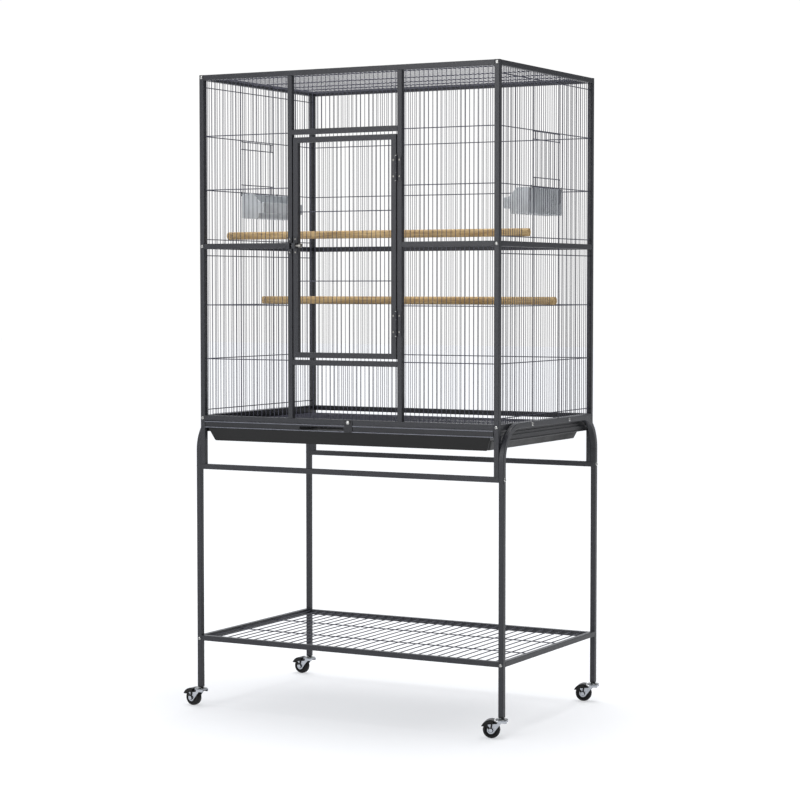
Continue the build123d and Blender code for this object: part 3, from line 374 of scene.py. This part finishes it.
def arc(centre, radius, start, end, count):
    """Points on an arc, in degrees, both ends included."""
    steps = [radians(start + (end - start) * i / (count - 1)) for i in range(count)]
    return [(centre[0] + radius * cos(a), centre[1] + radius * sin(a)) for a in steps]


def rounded(width, height, radius, count=5):
    """A rounded rectangle about the origin."""
    u, v = width / 2 - radius, height / 2 - radius
    points = []
    for cu, cv, turn in ((u, v, 0), (-u, v, 90), (-u, -v, 180), (u, -v, 270)):
        points += arc((cu, cv), radius, turn, turn + 90, count)
    return points


def rounded_path(corners, count=5):
    """Points of a path through (u, v, radius) corners, each rounded by its radius."""
    points = []
    for i, (u, v, radius) in enumerate(corners):
        here = Vector((u, v))
        if radius == 0.0 or i in (0, len(corners) - 1):
            points.append((u, v))
            continue
        before = (Vector(corners[i - 1][:2]) - here).normalized()
        after = (Vector(corners[i + 1][:2]) - here).normalized()
        for step in range(count):
            t = step / (count - 1)
            bend = here + before * radius * (1 - t) ** 2 + after * radius * t ** 2
            points.append((bend.x, bend.y))
    return points


def slab(shape, outline, place, start, end):
    """A closed plate: an outline of (u, v) points, placed at start and at end."""
    skin(shape, [[shape.verts.new(place(point, y)) for point in outline] for y in (start, end)])


# ---- wire panels ----
def spread(middle, room, pitch):
    """Even wire positions that fill a bay."""
    count = int(room / pitch + 1e-6)
    return [middle + (i - (count - 1) / 2) * pitch for i in range(count)]


def weave(
    shape, place, uprights, v_range, rows, u_range,
    wire=WIRE_RADIUS, row=ROW_RADIUS, behind=None,
):
    """Upright wires with rows welded behind them. place(u, v, w) gives the point, w inwards."""
    for u in uprights:
        rod(shape, place(u, v_range[0], 0.0), place(u, v_range[1], 0.0), wire)
    behind = (wire + row) * WELD if behind is None else behind
    for v in rows:
        rod(shape, place(u_range[0], v, behind), place(u_range[1], v, behind), row)


def centre_of(node, axis):
    low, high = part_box(node)
    return (low[axis] + high[axis]) / 2


wall_low, wall_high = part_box("front_bay_wires")
posts_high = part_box("door_posts")[1]
DOOR_SILL_GAP = 0.0053        # from the door's frame to the sill below it
DOOR_HEAD_GAP = 0.0066        # and to the head above it
FRONT_Y = centre_of("front_bay_wires", 1)
BACK_Y = centre_of("back_wires", 1)
LEFT_X = centre_of("left_wires", 0)
INNER_X = wall_high.x
INNER_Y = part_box("left_wires")[1].y
LOWER = (wall_low.z, MID_RAIL_Z - TUBE / 2)
UPPER = (MID_RAIL_Z + TUBE / 2, wall_high.z)
GUIDE_FRONT_Y, GUIDE_REAR_Y = (edge[1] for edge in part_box("cup_door_guides"))
GUIDE_FRONT_Y += GUIDE_CAD_RADIUS
GUIDE_REAR_Y -= GUIDE_CAD_RADIUS
GUIDE_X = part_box("cup_door_guides")[1].x - GUIDE_CAD_RADIUS
DOOR_BAY_X = posts_high.x - TUBE
WIRES_BEFORE = 14             # side wires in front of the guides, between them and behind them
WIRES_BETWEEN = 11
WIRES_BEHIND = 15


def front_wall(u, v, w):
    return Vector((u, FRONT_Y + w, v))


def back_wall(u, v, w):
    return Vector((u, BACK_Y - w, v))


@piece("front_bay_round_wires", "cage", "wire_coat", ("front_bay_wires",))
def front_bays(shape):
    for side in (-1, 1):
        bay = sorted((side * posts_high.x, side * INNER_X))
        uprights = spread(sum(bay) / 2, bay[1] - bay[0], WIRE_PITCH)
        weave(shape, front_wall, uprights, UPPER, UPPER_ROWS[1:3], bay)
        weave(shape, front_wall, uprights, LOWER, LOWER_ROWS[1:3], bay)


@piece("front_centre_round_wires", "cage", "wire_coat", ("front_centre_wires",))
def front_centre(shape):
    door_low, door_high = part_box("door_frame")
    uprights = spread(0.0, 2 * DOOR_BAY_X, WIRE_PITCH)
    sill = door_low.z - DOOR_SILL_GAP - TUBE
    head = door_high.z + DOOR_HEAD_GAP + TUBE
    weave(shape, front_wall, uprights, (head, UPPER[1]), (), ())
    weave(shape, front_wall, uprights, (LOWER[0], sill), (), ())


@piece("back_round_wires", "cage", "wire_coat", ("back_wires",))
def back(shape):
    uprights = spread(0.0, 2 * INNER_X, WIRE_PITCH)
    weave(shape, back_wall, uprights, UPPER, UPPER_ROWS[1:3], (-INNER_X, INNER_X))
    weave(shape, back_wall, uprights, LOWER, LOWER_ROWS[1:3], (-INNER_X, INNER_X))


@piece("roof_round_wires", "cage", "wire_coat", ("roof_wires",))
def roof(shape):
    height = centre_of("roof_wires", 2)
    weave(
        shape, lambda u, v, w: Vector((u, v, height - w)),
        spread(0.0, 2 * INNER_X, WIRE_PITCH), (-INNER_Y, INNER_Y), ROOF_ROWS, (-INNER_X, INNER_X),
    )


def side_wall(side, name):
    """One side's wires: the rows lie in the CAD wires' plane, where the cup's hooks clear them."""
    def draw(shape):
        def place(u, v, w):
            return Vector((side * (SIDE_LIFT - LEFT_X - w), u, v))
        before = [GUIDE_FRONT_Y - i * SIDE_PITCH for i in range(1, WIRES_BEFORE + 1)]
        between = [GUIDE_FRONT_Y + i * SIDE_PITCH for i in range(1, WIRES_BETWEEN + 1)]
        behind = [GUIDE_REAR_Y + i * SIDE_PITCH for i in range(1, WIRES_BEHIND + 1)]
        full = (-INNER_Y, INNER_Y)
        for uprights, height, rows in (
            (before + behind, UPPER, UPPER_ROWS),
            (between, (UPPER_ROWS[1] - ROW_RADIUS, UPPER[1]), ()),
            (between, (UPPER[0], UPPER_ROWS[2] + ROW_RADIUS), ()),
            (before + between + behind, LOWER, LOWER_ROWS),
        ):
            weave(shape, place, uprights, height, rows, full, behind=SIDE_LIFT)
    piece(f"{name}_round_wires", "cage", "wire_coat", (f"{name}_wires",))(draw)


for name, side in SIDES:
    side_wall(side, name)


@piece("cup_door_guide_wires", "cage", "wire_coat", ("cup_door_guides",))
def guides(shape):
    for side in (-1, 1):
        for y in (GUIDE_FRONT_Y, GUIDE_REAR_Y):
            for low, high in (LOWER, UPPER):
                ends = (Vector((side * GUIDE_X, y, z)) for z in (low, high))
                rod(shape, *ends, GUIDE_RADIUS)


@piece("door_round_wires", "door", "wire_coat", ("door_wires",))
def door(shape):
    low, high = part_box("door_wires")
    uprights = spread(0.0, high.x - low.x, WIRE_PITCH)
    weave(shape, front_wall, uprights, (low.z, high.z), DOOR_ROWS, (low.x, high.x))


@piece("shelf_round_wires", "cage", "wire_coat", ("shelf_wires",))
def shelf(shape):
    low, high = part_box("shelf_wires")
    height = centre_of("shelf_wires", 2)
    side_wires = int(high.x / SHELF_PITCH)
    uprights = [i * SHELF_PITCH for i in range(-side_wires, side_wires + 1)]
    weave(
        shape, lambda u, v, w: Vector((u, v, height - w)),
        uprights, (low.y, high.y), SHELF_ROWS, (low.x, high.x), SHELF_RADIUS, SHELF_RADIUS,
    )


RUNNER_WIDTH = 0.0068         # flat runners along the grate's sides
REAR_BAR = 0.0048             # square bar along its back
BAR_ROUNDING = 0.0012


@piece("grate_round_wires", "grate", "wire_coat", ("grate_wires",))
def grate(shape):
    low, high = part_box("grate_wires")
    height = high.z - WIRE_RADIUS
    uprights = spread(0.0, high.x - low.x - 2 * RUNNER_WIDTH, WIRE_PITCH)
    weave(
        shape, lambda u, v, w: Vector((u, v, height - w)),
        uprights, (low.y, high.y), GRATE_ROWS, (low.x, high.x),
    )
    section = rounded(high.z - low.z, RUNNER_WIDTH, BAR_ROUNDING)
    for side in (-1, 1):
        middle = Vector((side * (high.x - RUNNER_WIDTH / 2), low.y, (low.z + high.z) / 2))
        prism(shape, middle, Z, X, section, high.y - low.y)
    rear = Vector((low.x, high.y - REAR_BAR / 2, high.z - REAR_BAR / 2))
    prism(shape, rear, Y, Z, rounded(REAR_BAR, REAR_BAR, BAR_ROUNDING), high.x - low.x)


# ---- tray guides ----
SHEET = 0.001
HEM = 0.0012                  # radius of the rolled edges
GUIDE_STEP = 0.003            # each fold of a guide stands this much further out
STEP_DROP = 0.0085            # the upper step lies this far below the flange
LEDGE_RISE = 0.0110           # the grate's ledge lies this far above the tray's
LEDGE_REACH = 0.0088          # both ledges reach this far inwards
GRATE_BAR_TOP = 0.707
TAB_X = (0.0012, 0.0228)      # the ends of the tab on the front bar
BAR_HEM = HEM * 0.8           # the bar's own rolled edges
HEM_SINK = 0.0002             # they are sunk this far into its face


def box_outline(start, end, bottom, top):
    return [(start, bottom), (end, bottom), (end, top), (start, top)]


@piece("folded_tray_guides", "cage", "sheet_coat", ("tray_guides",))
def tray_guide_sheets(shape):
    """Folded sheet with two steps outwards, and two ledges inwards for the grate and the tray."""
    low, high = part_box("tray_guides")
    tip = INNER_X - LEDGE_REACH
    web, middle, outer = (INNER_X + i * GUIDE_STEP for i in range(3))
    flange = high.z - SHEET
    step = high.z - STEP_DROP
    ledge = low.z + LEDGE_RISE
    foot = low.z + SHEET
    folds = [
        box_outline(INNER_X, high.x, flange, high.z),
        box_outline(web, web + SHEET, step, flange),
        box_outline(web, middle + SHEET, step - SHEET, step),
        box_outline(middle, middle + SHEET, ledge + SHEET, step - SHEET),
        box_outline(tip, outer + SHEET, ledge, ledge + SHEET),
        box_outline(outer, outer + SHEET, foot, ledge),
        box_outline(tip, high.x, low.z, foot),
    ]
    edges = ((middle + SHEET, step), (outer + SHEET, ledge + SHEET), (high.x, foot))
    for side in (-1, 1):
        def place(point, y):
            return Vector((side * point[0], y, point[1]))
        for fold in folds:
            slab(shape, fold, place, low.y, high.y)
        for x, z in edges:
            rod(shape, *(place((x - HEM, z - HEM), y) for y in (low.y, high.y)), HEM)


@piece("grate_bar_highlight_hems", "grate", "frame_coat", finish="painted_highlight_coat")
def grate_bar_highlight_hems(shape):
    """Rolled edges along the top and the foot of the grate's front bar, in a far paler coat than the bar: a
    painted highlight where they catch the light.
    """
    low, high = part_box("grate_bar")
    face = low.y + HEM_SINK
    for z in (low.z + HEM, GRATE_BAR_TOP - HEM):
        for start, end in ((low.x, TAB_X[0]), (TAB_X[1], high.x)):
            rod(shape, Vector((start, face, z)), Vector((end, face, z)), BAR_HEM)


# ---- cup doors ----
CUP_ROWS = (1.3983, 1.3795, 1.2906, 1.2685)
HOOK_PLAY = 0.00025
HANDLE_INSET = 0.0045         # from a guide wire to the upright bar that joins two rows


def cup_door(name, side):
    x = side * GUIDE_X

    def draw(shape):
        def upright(reach, y, bottom, top, radius):
            at = x + side * reach
            rod(shape, Vector((at, y, bottom)), Vector((at, y, top)), radius)

        top, bottom = CUP_ROWS[0] + ROW_RADIUS, CUP_ROWS[-1] - ROW_RADIUS
        for i in range(1, WIRES_BETWEEN + 1):
            upright(0.0, GUIDE_FRONT_Y + i * SIDE_PITCH, bottom, top, WIRE_RADIUS)
        hook = GUIDE_RADIUS + ROW_RADIUS + HOOK_PLAY
        for z in CUP_ROWS:
            turns = [radians(a) for a in range(-10, 91, 20)]
            wrap = [
                Vector((x + side * hook * sin(a), GUIDE_FRONT_Y - hook * cos(a), z)) for a in turns
            ]
            far = [Vector((p.x, GUIDE_FRONT_Y + GUIDE_REAR_Y - p.y, z)) for p in reversed(wrap)]
            bent_rod(shape, wrap + far, ROW_RADIUS)
        for high, low in (CUP_ROWS[:2], CUP_ROWS[2:]):
            for y in (GUIDE_FRONT_Y + HANDLE_INSET, GUIDE_REAR_Y - HANDLE_INSET):
                upright(hook, y, low, high, ROW_RADIUS)
    body = f"{name}_cup_door"
    piece(f"{name}_cup_door_wires", body, "wire_coat", (body,))(draw)


for name, side in SIDES:
    cup_door(name, side)


# ---- seed cups: lengths from the back wall, heights from the floor ----
CUP_WALL = 0.002
CUP_RIM = 0.0013              # radius of the rim round the mouth
CUP_BASE = 0.048
CUP_NECK = 0.050              # where the feeding trough begins
CUP_TROUGH_RISE = 0.013
CUP_LIP_RISE = 0.038
CHEEK_TOP = 0.032             # the cheeks slope from here
CHEEK_FOOT = 0.053            # down to here
CUP_CORNER = 0.003
CUP_INNER_CORNER = 0.002


def seed_cup(name, side):
    """A moulded bin with a feeding trough along its inner side and sloping cheeks at its ends."""
    low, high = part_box(f"{name}_seed_cup")
    back_x = high.x if side > 0 else -low.x
    depth = high.x - low.x
    inner_depth = depth - CUP_WALL
    floor, top = low.z, high.z
    trough, lip = floor + CUP_TROUGH_RISE, floor + CUP_LIP_RISE
    outer = rounded_path([
        (0.0, top, 0.0), (0.0, floor, CUP_CORNER), (CUP_BASE, floor, CUP_CORNER),
        (CUP_NECK, trough, CUP_INNER_CORNER), (depth, trough, CUP_CORNER),
        (depth, lip, 0.0), (CHEEK_FOOT, lip, 0.0), (CHEEK_TOP, top, 0.0),
    ])
    inner = rounded_path([
        (CUP_WALL, top, 0.0), (CUP_WALL, floor + CUP_WALL, CUP_INNER_CORNER),
        (CUP_BASE - CUP_WALL, floor + CUP_WALL, CUP_INNER_CORNER),
        (CUP_NECK - 0.0015, trough + CUP_WALL, CUP_INNER_CORNER),
        (inner_depth, trough + CUP_WALL, CUP_INNER_CORNER), (inner_depth, lip, 0.0),
    ])

    def at(point, y):
        return Vector((side * (back_x - point[0]), y, point[1]))

    def draw(shape):
        front = next(i for i, point in enumerate(outer) if point == (depth, lip))
        shell = outer[:front + 1] + inner[::-1]
        slab(shape, shell, at, low.y + CUP_WALL / 2, high.y - CUP_WALL / 2)
        for start, end in ((low.y, low.y + CUP_WALL), (high.y - CUP_WALL, high.y)):
            slab(shape, outer, at, start, end)
        ends = (low.y + CUP_RIM, high.y - CUP_RIM)
        back_edge, front_edge = (CUP_RIM, top), (depth - CUP_RIM, lip)
        cheek = [back_edge, (CHEEK_TOP - 0.0005, top), (CHEEK_FOOT + 0.0005, lip), front_edge]
        for y in ends:
            bent_rod(shape, [at(point, y) for point in cheek], CUP_RIM)
        for point in (back_edge, front_edge):
            rod(shape, *(at(point, y) for y in ends), CUP_RIM)
    replaced = (f"{name}_seed_cup",)
    piece(f"{name}_moulded_cup", f"{name}_cup", "cup_plastic", replaced, smooth=50.0)(draw)


for name, side in SIDES:
    seed_cup(name, side)

# ---- screws ----
post_low, post_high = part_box("corner_posts")
HEAD = 0.0042
HEAD_HEIGHT = 0.003
HEAD_SINK = 0.0006            # the heads' rims are sunk this far into the tubes' rounded faces
SMALL_HEAD = 0.0024           # the screws of the hinges' and the latch's plates
SMALL_HEAD_HEIGHT = 0.0011
POST_X = post_high.x - TUBE / 2
POST_Y = post_high.y - TUBE / 2
BOTTOM_RAIL_Z = LOWER[0] - TUBE / 2
TOP_RAIL_Z = UPPER[1] + TUBE / 2
BRACE_Z = centre_of("stand_braces", 2)
SHELF_Z = centre_of("shelf_frame", 2)
LEG_X = post_high.x + TUBE / 2
HOOP_SCREW_Y = (-0.1125, 0.0965)
FACE_Y = post_high.y - HEAD_SINK
FACE_X = post_high.x + TUBE - HEAD_SINK


@piece("frame_screw_heads", "cage", "zinc", ("frame_bolts",))
def frame_screws(shape):
    for x in (-POST_X, POST_X):
        for side in (-1, 1):
            for z in (BOTTOM_RAIL_Z, MID_RAIL_Z, TOP_RAIL_Z):
                screw_head(shape, Vector((x, side * FACE_Y, z)), Y * side, HEAD, HEAD_HEIGHT)


@piece("stand_screw_heads", "cage", "zinc", ("stand_bolts",))
def stand_screws(shape):
    for x_side in (-1, 1):
        outward = X * x_side
        for y_side in (-1, 1):
            at = Vector((x_side * FACE_X, y_side * POST_Y, BRACE_Z))
            screw_head(shape, at, outward, HEAD, HEAD_HEIGHT)
            at = Vector((x_side * LEG_X, y_side * FACE_Y, SHELF_Z))
            screw_head(shape, at, Y * y_side, HEAD, HEAD_HEIGHT)
        for y in HOOP_SCREW_Y:
            at = Vector((x_side * FACE_X, y, BOTTOM_RAIL_Z))
            screw_head(shape, at, outward, HEAD, HEAD_HEIGHT)


def plate_screws(node, body, spots, face_y):
    """Small screws at (x, z) spots on the front of a plate."""
    def draw(shape):
        for x, z in spots:
            at = Vector((x, face_y, z))
            screw_head(shape, at, -Y, SMALL_HEAD, SMALL_HEAD_HEIGHT, socket=0.4)
    piece(f"{node}_screws", body, "zinc", finish="bolt_metal")(draw)


LEAF_FACE = post_low.y - 0.0011     # the fronts of the hinges' leaves and the latch's plates
PLATE_FACE = post_low.y - 0.0014
HINGE_Z = (1.310, 0.9485)
LEAF_SCREW_LIFT = 0.019       # from a hinge's middle to its screws
LEAF_SCREW_INSET = 0.0046     # from a leaf's outer edge
PLATE_SCREW_LIFT = 0.0155
PLATE_SCREW_INSET = 0.00575
leaf_screws = (
    ("hinge_post_leaves", "cage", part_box("hinge_post_leaves")[1].x - LEAF_SCREW_INSET),
    ("hinge_door_leaves", "door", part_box("hinge_door_leaves")[0].x + LEAF_SCREW_INSET),
)
for node, body, x in leaf_screws:
    lifts = (-LEAF_SCREW_LIFT, LEAF_SCREW_LIFT)
    plate_screws(node, body, [(x, z + lift) for z in HINGE_Z for lift in lifts], LEAF_FACE)

for node, body in (("latch_keeper", "cage"), ("latch_plate", "door")):
    x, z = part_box(node)[1].x - PLATE_SCREW_INSET, centre_of(node, 2)
    lifts = (-PLATE_SCREW_LIFT, PLATE_SCREW_LIFT)
    plate_screws(node, body, [(x, z + lift) for lift in lifts], PLATE_FACE)


@piece("latch_bolt_and_knob", "latch_bolt", "zinc", ("latch_bolt",), finish="bolt_metal")
def latch_bolt(shape):
    low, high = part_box("latch_bolt")
    tip = Vector((low.x, (low.y + high.y) / 2, (low.z + high.z) / 2))
    knob = (high.y - low.y) / 2
    length = high.x - low.x
    neck = length - 0.007
    shank = [
        (0.0021, 0.0), (0.0027, 0.0006), (0.003, 0.0016),
        (0.003, neck - 0.0012), (0.0036, neck - 0.0006),
    ]
    grip = [
        (0.86, 0.0), (0.98, 0.0007), (1.0, 0.0016), (0.93, 0.0024),
        (0.93, 0.0042), (1.0, 0.005), (0.94, 0.0062),
    ]
    end = [(0.7, -0.0002), (0.45, 0.0), (0.4, -0.0008)]
    profile = shank + [(knob * share, neck + height) for share, height in grip]
    profile += [(knob * share, length + height) for share, height in end]
    lathe(shape, tip, X, profile, 40)


@piece("lock_screw_head", "grate_lock_screw", "zinc", ("grate_lock_screw",))
def lock_screw(shape):
    low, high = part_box("grate_lock_screw")
    middle = Vector(((low.x + high.x) / 2, high.y, (low.z + high.z) / 2))
    shank = 0.0025
    head_flat, head_height = 0.0044, 0.004
    neck = high.y - low.y - head_height
    lathe(shape, middle, -Y, [(shank * 0.8, 0.0), (shank, 0.0006), (shank, neck)], 24)
    first, second = across(-Y)
    head = ((0.96, 0.0), (1.0, 0.0003), (1.0, 0.0028), (0.9, 0.0036), (0.72, head_height))
    rings = []
    for share, height in head:
        outline = hexagon(head_flat, share, 1.0 if share == 1.0 else 0.4)
        rings.append(ring(shape, middle - Y * (neck + height), first, second, outline))
    skin(shape, rings)


# ---- casters ----
def tangent(point, radius, way):
    """Angle, in degrees, where a line from a point touches a circle about the origin."""
    u, v = point
    return degrees(atan2(v, u) + way * acos(radius / hypot(u, v)))


def caster(name):
    """Wheel, fork, axle ends and brake hood of one caster, round its own axle."""
    wheel_low, wheel_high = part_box(f"{name}_caster_wheel")
    fork_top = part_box(f"{name}_caster_fork")[1].z
    joint = {j["name"]: j for j in frame["joints"]}
    axle = Vector(joint[f"{name}_wheel_roll"]["axis"]).normalized()
    stem_at = Vector(joint[f"{name}_swivel_turn"]["pos_m"])
    middle = (wheel_low + wheel_high) / 2
    trail = Vector((middle.x - stem_at.x, middle.y - stem_at.y, 0.0)).normalized()
    radius = (wheel_high.z - wheel_low.z) / 2
    behind = (Vector((stem_at.x, stem_at.y, middle.z)) - middle).length
    half = 0.0085                 # half the wheel's width
    ear_inner, ear_thick = 0.0093, 0.0018
    arm_inner, arm_thick = ear_inner + ear_thick + 0.0005, 0.0015
    roof = 0.0213                 # the fork's roof and the foot of its skirt, above the axle
    skirt = roof - 0.0053

    def wheel_skin(shape):
        hub = [(0.0055, 0.93), (0.0066, 0.97), (0.0072, 0.8), (0.0125, 0.72), (0.0139, 0.84)]
        flank = [(0.0146, 0.98), (0.0158, 1.0), (radius - 0.0027, 0.95)]
        tread = [(radius - 0.0011, 0.8), (radius - 0.0002, 0.5), (radius, 0.2)]
        profile = [(r, -half * share) for r, share in hub + flank + tread]
        mirrored = [(r, -h) for r, h in reversed(profile)]
        lathe(shape, middle, axle, profile + mirrored, 64)

    def fork_skin(shape):
        """Two stamped ears with round bosses, joined by the roof under the swivel head."""
        boss = 0.0088
        bead_height = 0.0004
        front, top = -behind - 0.013, roof + 0.0018
        lower, shoulder = (-behind, skirt), (0.0072, 0.0128)
        foot_angle, back_angle = tangent(lower, boss, 1), 360 + tangent(shoulder, boss, -1)
        outline = [(front, top), *arc((front + 0.002, skirt + 0.002), 0.002, 180, 270, 4), lower]
        outline += arc((0.0, 0.0), boss, foot_angle, back_angle, 20)
        outline += [shoulder, (-0.0145, 0.0150), (-behind + 0.0065, top)]
        bead = arc((0.0, 0.0), boss - 0.0012, 0, 342, 20)
        bead += arc((0.0, 0.0), boss - 0.0024, 342, 0, 20)
        for shift in (-ear_inner - ear_thick, ear_inner):
            prism(shape, middle + axle * shift, trail, Z, outline, ear_thick)
            lift = ear_thick if shift > 0 else -bead_height
            prism(shape, middle + axle * (shift + lift), trail, Z, bead, bead_height)
        roof_outline = rounded(0.026, 2 * (ear_inner + ear_thick), 0.002)
        plate = [(u - behind, v) for u, v in roof_outline]
        prism(shape, middle + Z * roof, trail, Z.cross(trail), plate, 0.002)

    def race_skin(shape):
        """The swivel head: a domed cap over a ball race, on the stem."""
        head = Vector((stem_at.x, stem_at.y, 0.0))
        race = [
            (0.0125, 0.0433), (0.0141, 0.0434), (0.0146, 0.0438),
            (0.0147, 0.0446), (0.0143, 0.0450), (0.0120, 0.0451),
        ]
        dome = [(0.0078, 0.0453), (0.0070, 0.0460), (0.0066, 0.0472), (0.0054, 0.0480)]
        stem = [
            (0.0041, 0.0482), (0.0040, 0.0486), (0.0040, fork_top - 0.002), (0.0034, fork_top),
        ]
        lathe(shape, head, Z, race + dome + stem, 48)

    def axle_skin(shape):
        end = arm_inner + arm_thick + 0.0003
        rod(shape, middle - axle * end, middle + axle * end, 0.003, 24)
        first, second = across(axle)
        nut = [
            (0.0028, 0.0), (0.0044, 0.0001), (0.0046, 0.0005),
            (0.0046, 0.0019), (0.0041, 0.0026), (0.003, 0.0026),
        ]
        skin(shape, [
            ring(shape, middle - axle * (end + height), first, second, hexagon(flat))
            for flat, height in nut
        ])
        cap = [(0.0045, 0.0), (0.0046, 0.0006), (0.0042, 0.0014), (0.0033, 0.002), (0.0016, 0.0022)]
        lathe(shape, middle + axle * end, axle, cap, 32)

    def brake_skin(shape):
        """A black hood over the back of the wheel, with side skirts and ribs down to the axle."""
        outer, inner = 0.024, 0.022
        wide = 2 * (arm_inner + arm_thick)
        start, stop = 27.0, 103.0
        tip, tip_angle = 0.0245, radians(21.0)
        point = [(tip * cos(tip_angle), tip * sin(tip_angle))]
        hood = point + arc((0.0, 0.0), outer, start + 2, stop, 18)
        hood += arc((0.0, 0.0), inner, stop, start, 18)
        prism(shape, middle - axle * wide / 2, trail, Z, hood, wide)
        flange = point + arc((0.0, 0.0), 0.0239, start, stop, 14)
        flange += arc((0.0, 0.0), 0.0165, stop, start + 4, 14)
        for shift in (-arm_inner - arm_thick, arm_inner):
            at = middle + axle * shift
            prism(shape, at, trail, Z, flange, arm_thick)
            prism(shape, at, trail, Z, circle(0.0056, 24), arm_thick)
            for turn, width in ((44.0, 0.0021), (98.0, 0.0019)):
                spoke = Vector((cos(radians(turn)), sin(radians(turn))))
                flank = Vector((-spoke.y, spoke.x)) * width
                near, far = spoke * 0.004, spoke * 0.018
                rib = [near - flank, far - flank, far + flank, near + flank]
                prism(shape, at, trail, Z, [tuple(p) for p in rib], arm_thick)

    part = f"{name}_caster"
    swivel = f"{name}_swivel"
    piece(f"{name}_tyre", f"{name}_wheel", "wheel_rubber", (f"{part}_wheel",))(wheel_skin)
    piece(f"{name}_yoke", swivel, "caster_metal", (f"{part}_fork",))(fork_skin)
    piece(f"{name}_ball_race", swivel, "caster_metal", finish="race_metal")(race_skin)
    piece(f"{name}_axle_ends", swivel, "caster_metal", (f"{part}_axle",))(axle_skin)
    piece(f"{name}_brake_hood", f"{name}_brake", "black_plastic", (f"{part}_brake",))(brake_skin)


for name in CASTERS:
    caster(name)

# ---- CAD nodes that stay ----
for name, node in nodes.items():
    if node.hide_render:
        continue
    node.data.materials.clear()
    node.data.materials.append(FINISH[SLOT_OF[name]])

# ---- camera, floor and lights: the view is fitted to the corners of the frame ----
camera_data = bpy.data.cameras.new("camera")
camera_data.lens = 99.49
camera_data.sensor_width = 36.0
camera_data.clip_end = 100.0
camera = bpy.data.objects.new("camera", camera_data)
camera.location = (2.6161, -4.7844, 1.0350)
camera.rotation_euler = (radians(90.0 - 2.932), 0.0, radians(28.623))
bpy.context.scene.collection.objects.link(camera)
bpy.context.scene.camera = camera
bpy.context.scene.view_settings.view_transform = "Standard"

FLOOR = 30.0                  # half the floor's side
GLOW_NEAR = 0.50              # glow of the paper under the cage, and far from it
GLOW_FAR = 0.74
GLOW_REACH = (0.7, 4.5)       # distances over which one passes into the other


def floor_material():
    """White paper that glows a little, as if lit from far round."""
    paper = Shader("studio_paper", Roughness=0.9, Specular_IOR_Level=0.1)
    paper.surface.inputs["Emission Color"].default_value = (0.97, 0.98, 1.0, 1.0)
    distance = paper.tree.nodes.new("ShaderNodeVectorMath")
    distance.operation = "LENGTH"
    paper.link(paper.space, distance.inputs[0])
    glow = paper.tree.nodes.new("ShaderNodeMapRange")
    glow.interpolation_type = "SMOOTHSTEP"
    glow.inputs["From Min"].default_value = GLOW_REACH[0]
    glow.inputs["From Max"].default_value = GLOW_REACH[1]
    glow.inputs["To Min"].default_value = GLOW_NEAR
    glow.inputs["To Max"].default_value = GLOW_FAR
    paper.link(distance.outputs["Value"], glow.inputs["Value"])
    paper.link(glow.outputs["Result"], paper.surface.inputs["Emission Strength"])
    mottle = paper.noise(3.0)
    paper.colour(paper.ramp(mottle, (0.3, (0.50, 0.503, 0.511)), (0.7, (0.506, 0.509, 0.517))))
    return paper.material


floor_corners = [(-FLOOR, -FLOOR, 0), (FLOOR, -FLOOR, 0), (FLOOR, FLOOR, 0), (-FLOOR, FLOOR, 0)]
floor_mesh = bpy.data.meshes.new("studio_floor")
floor_mesh.from_pydata(floor_corners, [], [(0, 1, 2, 3)])
floor_mesh.materials.append(floor_material())
floor = bpy.data.objects.new("studio_floor", floor_mesh)
bpy.context.scene.collection.objects.link(floor)


def softbox(name, place, aim, size, power):
    """A large soft light that looks at a point."""
    light = bpy.data.lights.new(name, "AREA")
    light.shape = "RECTANGLE"
    light.size, light.size_y = size
    light.energy = power
    lamp = bpy.data.objects.new(name, light)
    lamp.location = place
    lamp.rotation_euler = (Vector(place) - Vector(aim)).to_track_quat("Z", "Y").to_euler()
    bpy.context.scene.collection.objects.link(lamp)


softbox("key_softbox", (-0.8, -4.0, 2.0), (0, 0, 0.9), (2.2, 2.6), 62.0)
softbox("top_softbox", (0.2, 0.6, 4.4), (0, 0, 0), (3.0, 2.4), 150.0)


def studio_world():
    """A bright backdrop behind the cage that falls off towards the front of the room."""
    world = bpy.data.worlds.new("studio")
    world.use_nodes = True
    tree = world.node_tree
    seen = tree.nodes["Background"]
    seen.inputs["Color"].default_value = (1.0, 1.0, 1.0, 1.0)
    seen.inputs["Strength"].default_value = 1.02
    room = tree.nodes.new("ShaderNodeBackground")
    room.inputs["Color"].default_value = (0.94, 0.96, 1.0, 1.0)
    direction = tree.nodes.new("ShaderNodeTexCoord").outputs["Generated"]
    facing = tree.nodes.new("ShaderNodeVectorMath")
    facing.operation = "DOT_PRODUCT"
    facing.inputs[1].default_value = (0.97, -0.2, -0.1)
    fall = tree.nodes.new("ShaderNodeMapRange")
    fall.interpolation_type = "SMOOTHSTEP"
    fall.inputs["From Min"].default_value = -0.6
    fall.inputs["From Max"].default_value = 0.5
    fall.inputs["To Min"].default_value = 1.0
    fall.inputs["To Max"].default_value = 0.12
    choice = tree.nodes.new("ShaderNodeMixShader")
    camera_ray = tree.nodes.new("ShaderNodeLightPath").outputs["Is Camera Ray"]
    tree.links.new(direction, facing.inputs[0])
    tree.links.new(facing.outputs["Value"], fall.inputs["Value"])
    tree.links.new(fall.outputs["Result"], room.inputs["Strength"])
    tree.links.new(camera_ray, choice.inputs["Fac"])
    tree.links.new(room.outputs["Background"], choice.inputs[1])
    tree.links.new(seen.outputs["Background"], choice.inputs[2])
    tree.links.new(choice.outputs["Shader"], tree.nodes["World Output"].inputs["Surface"])
    bpy.context.scene.world = world


studio_world()
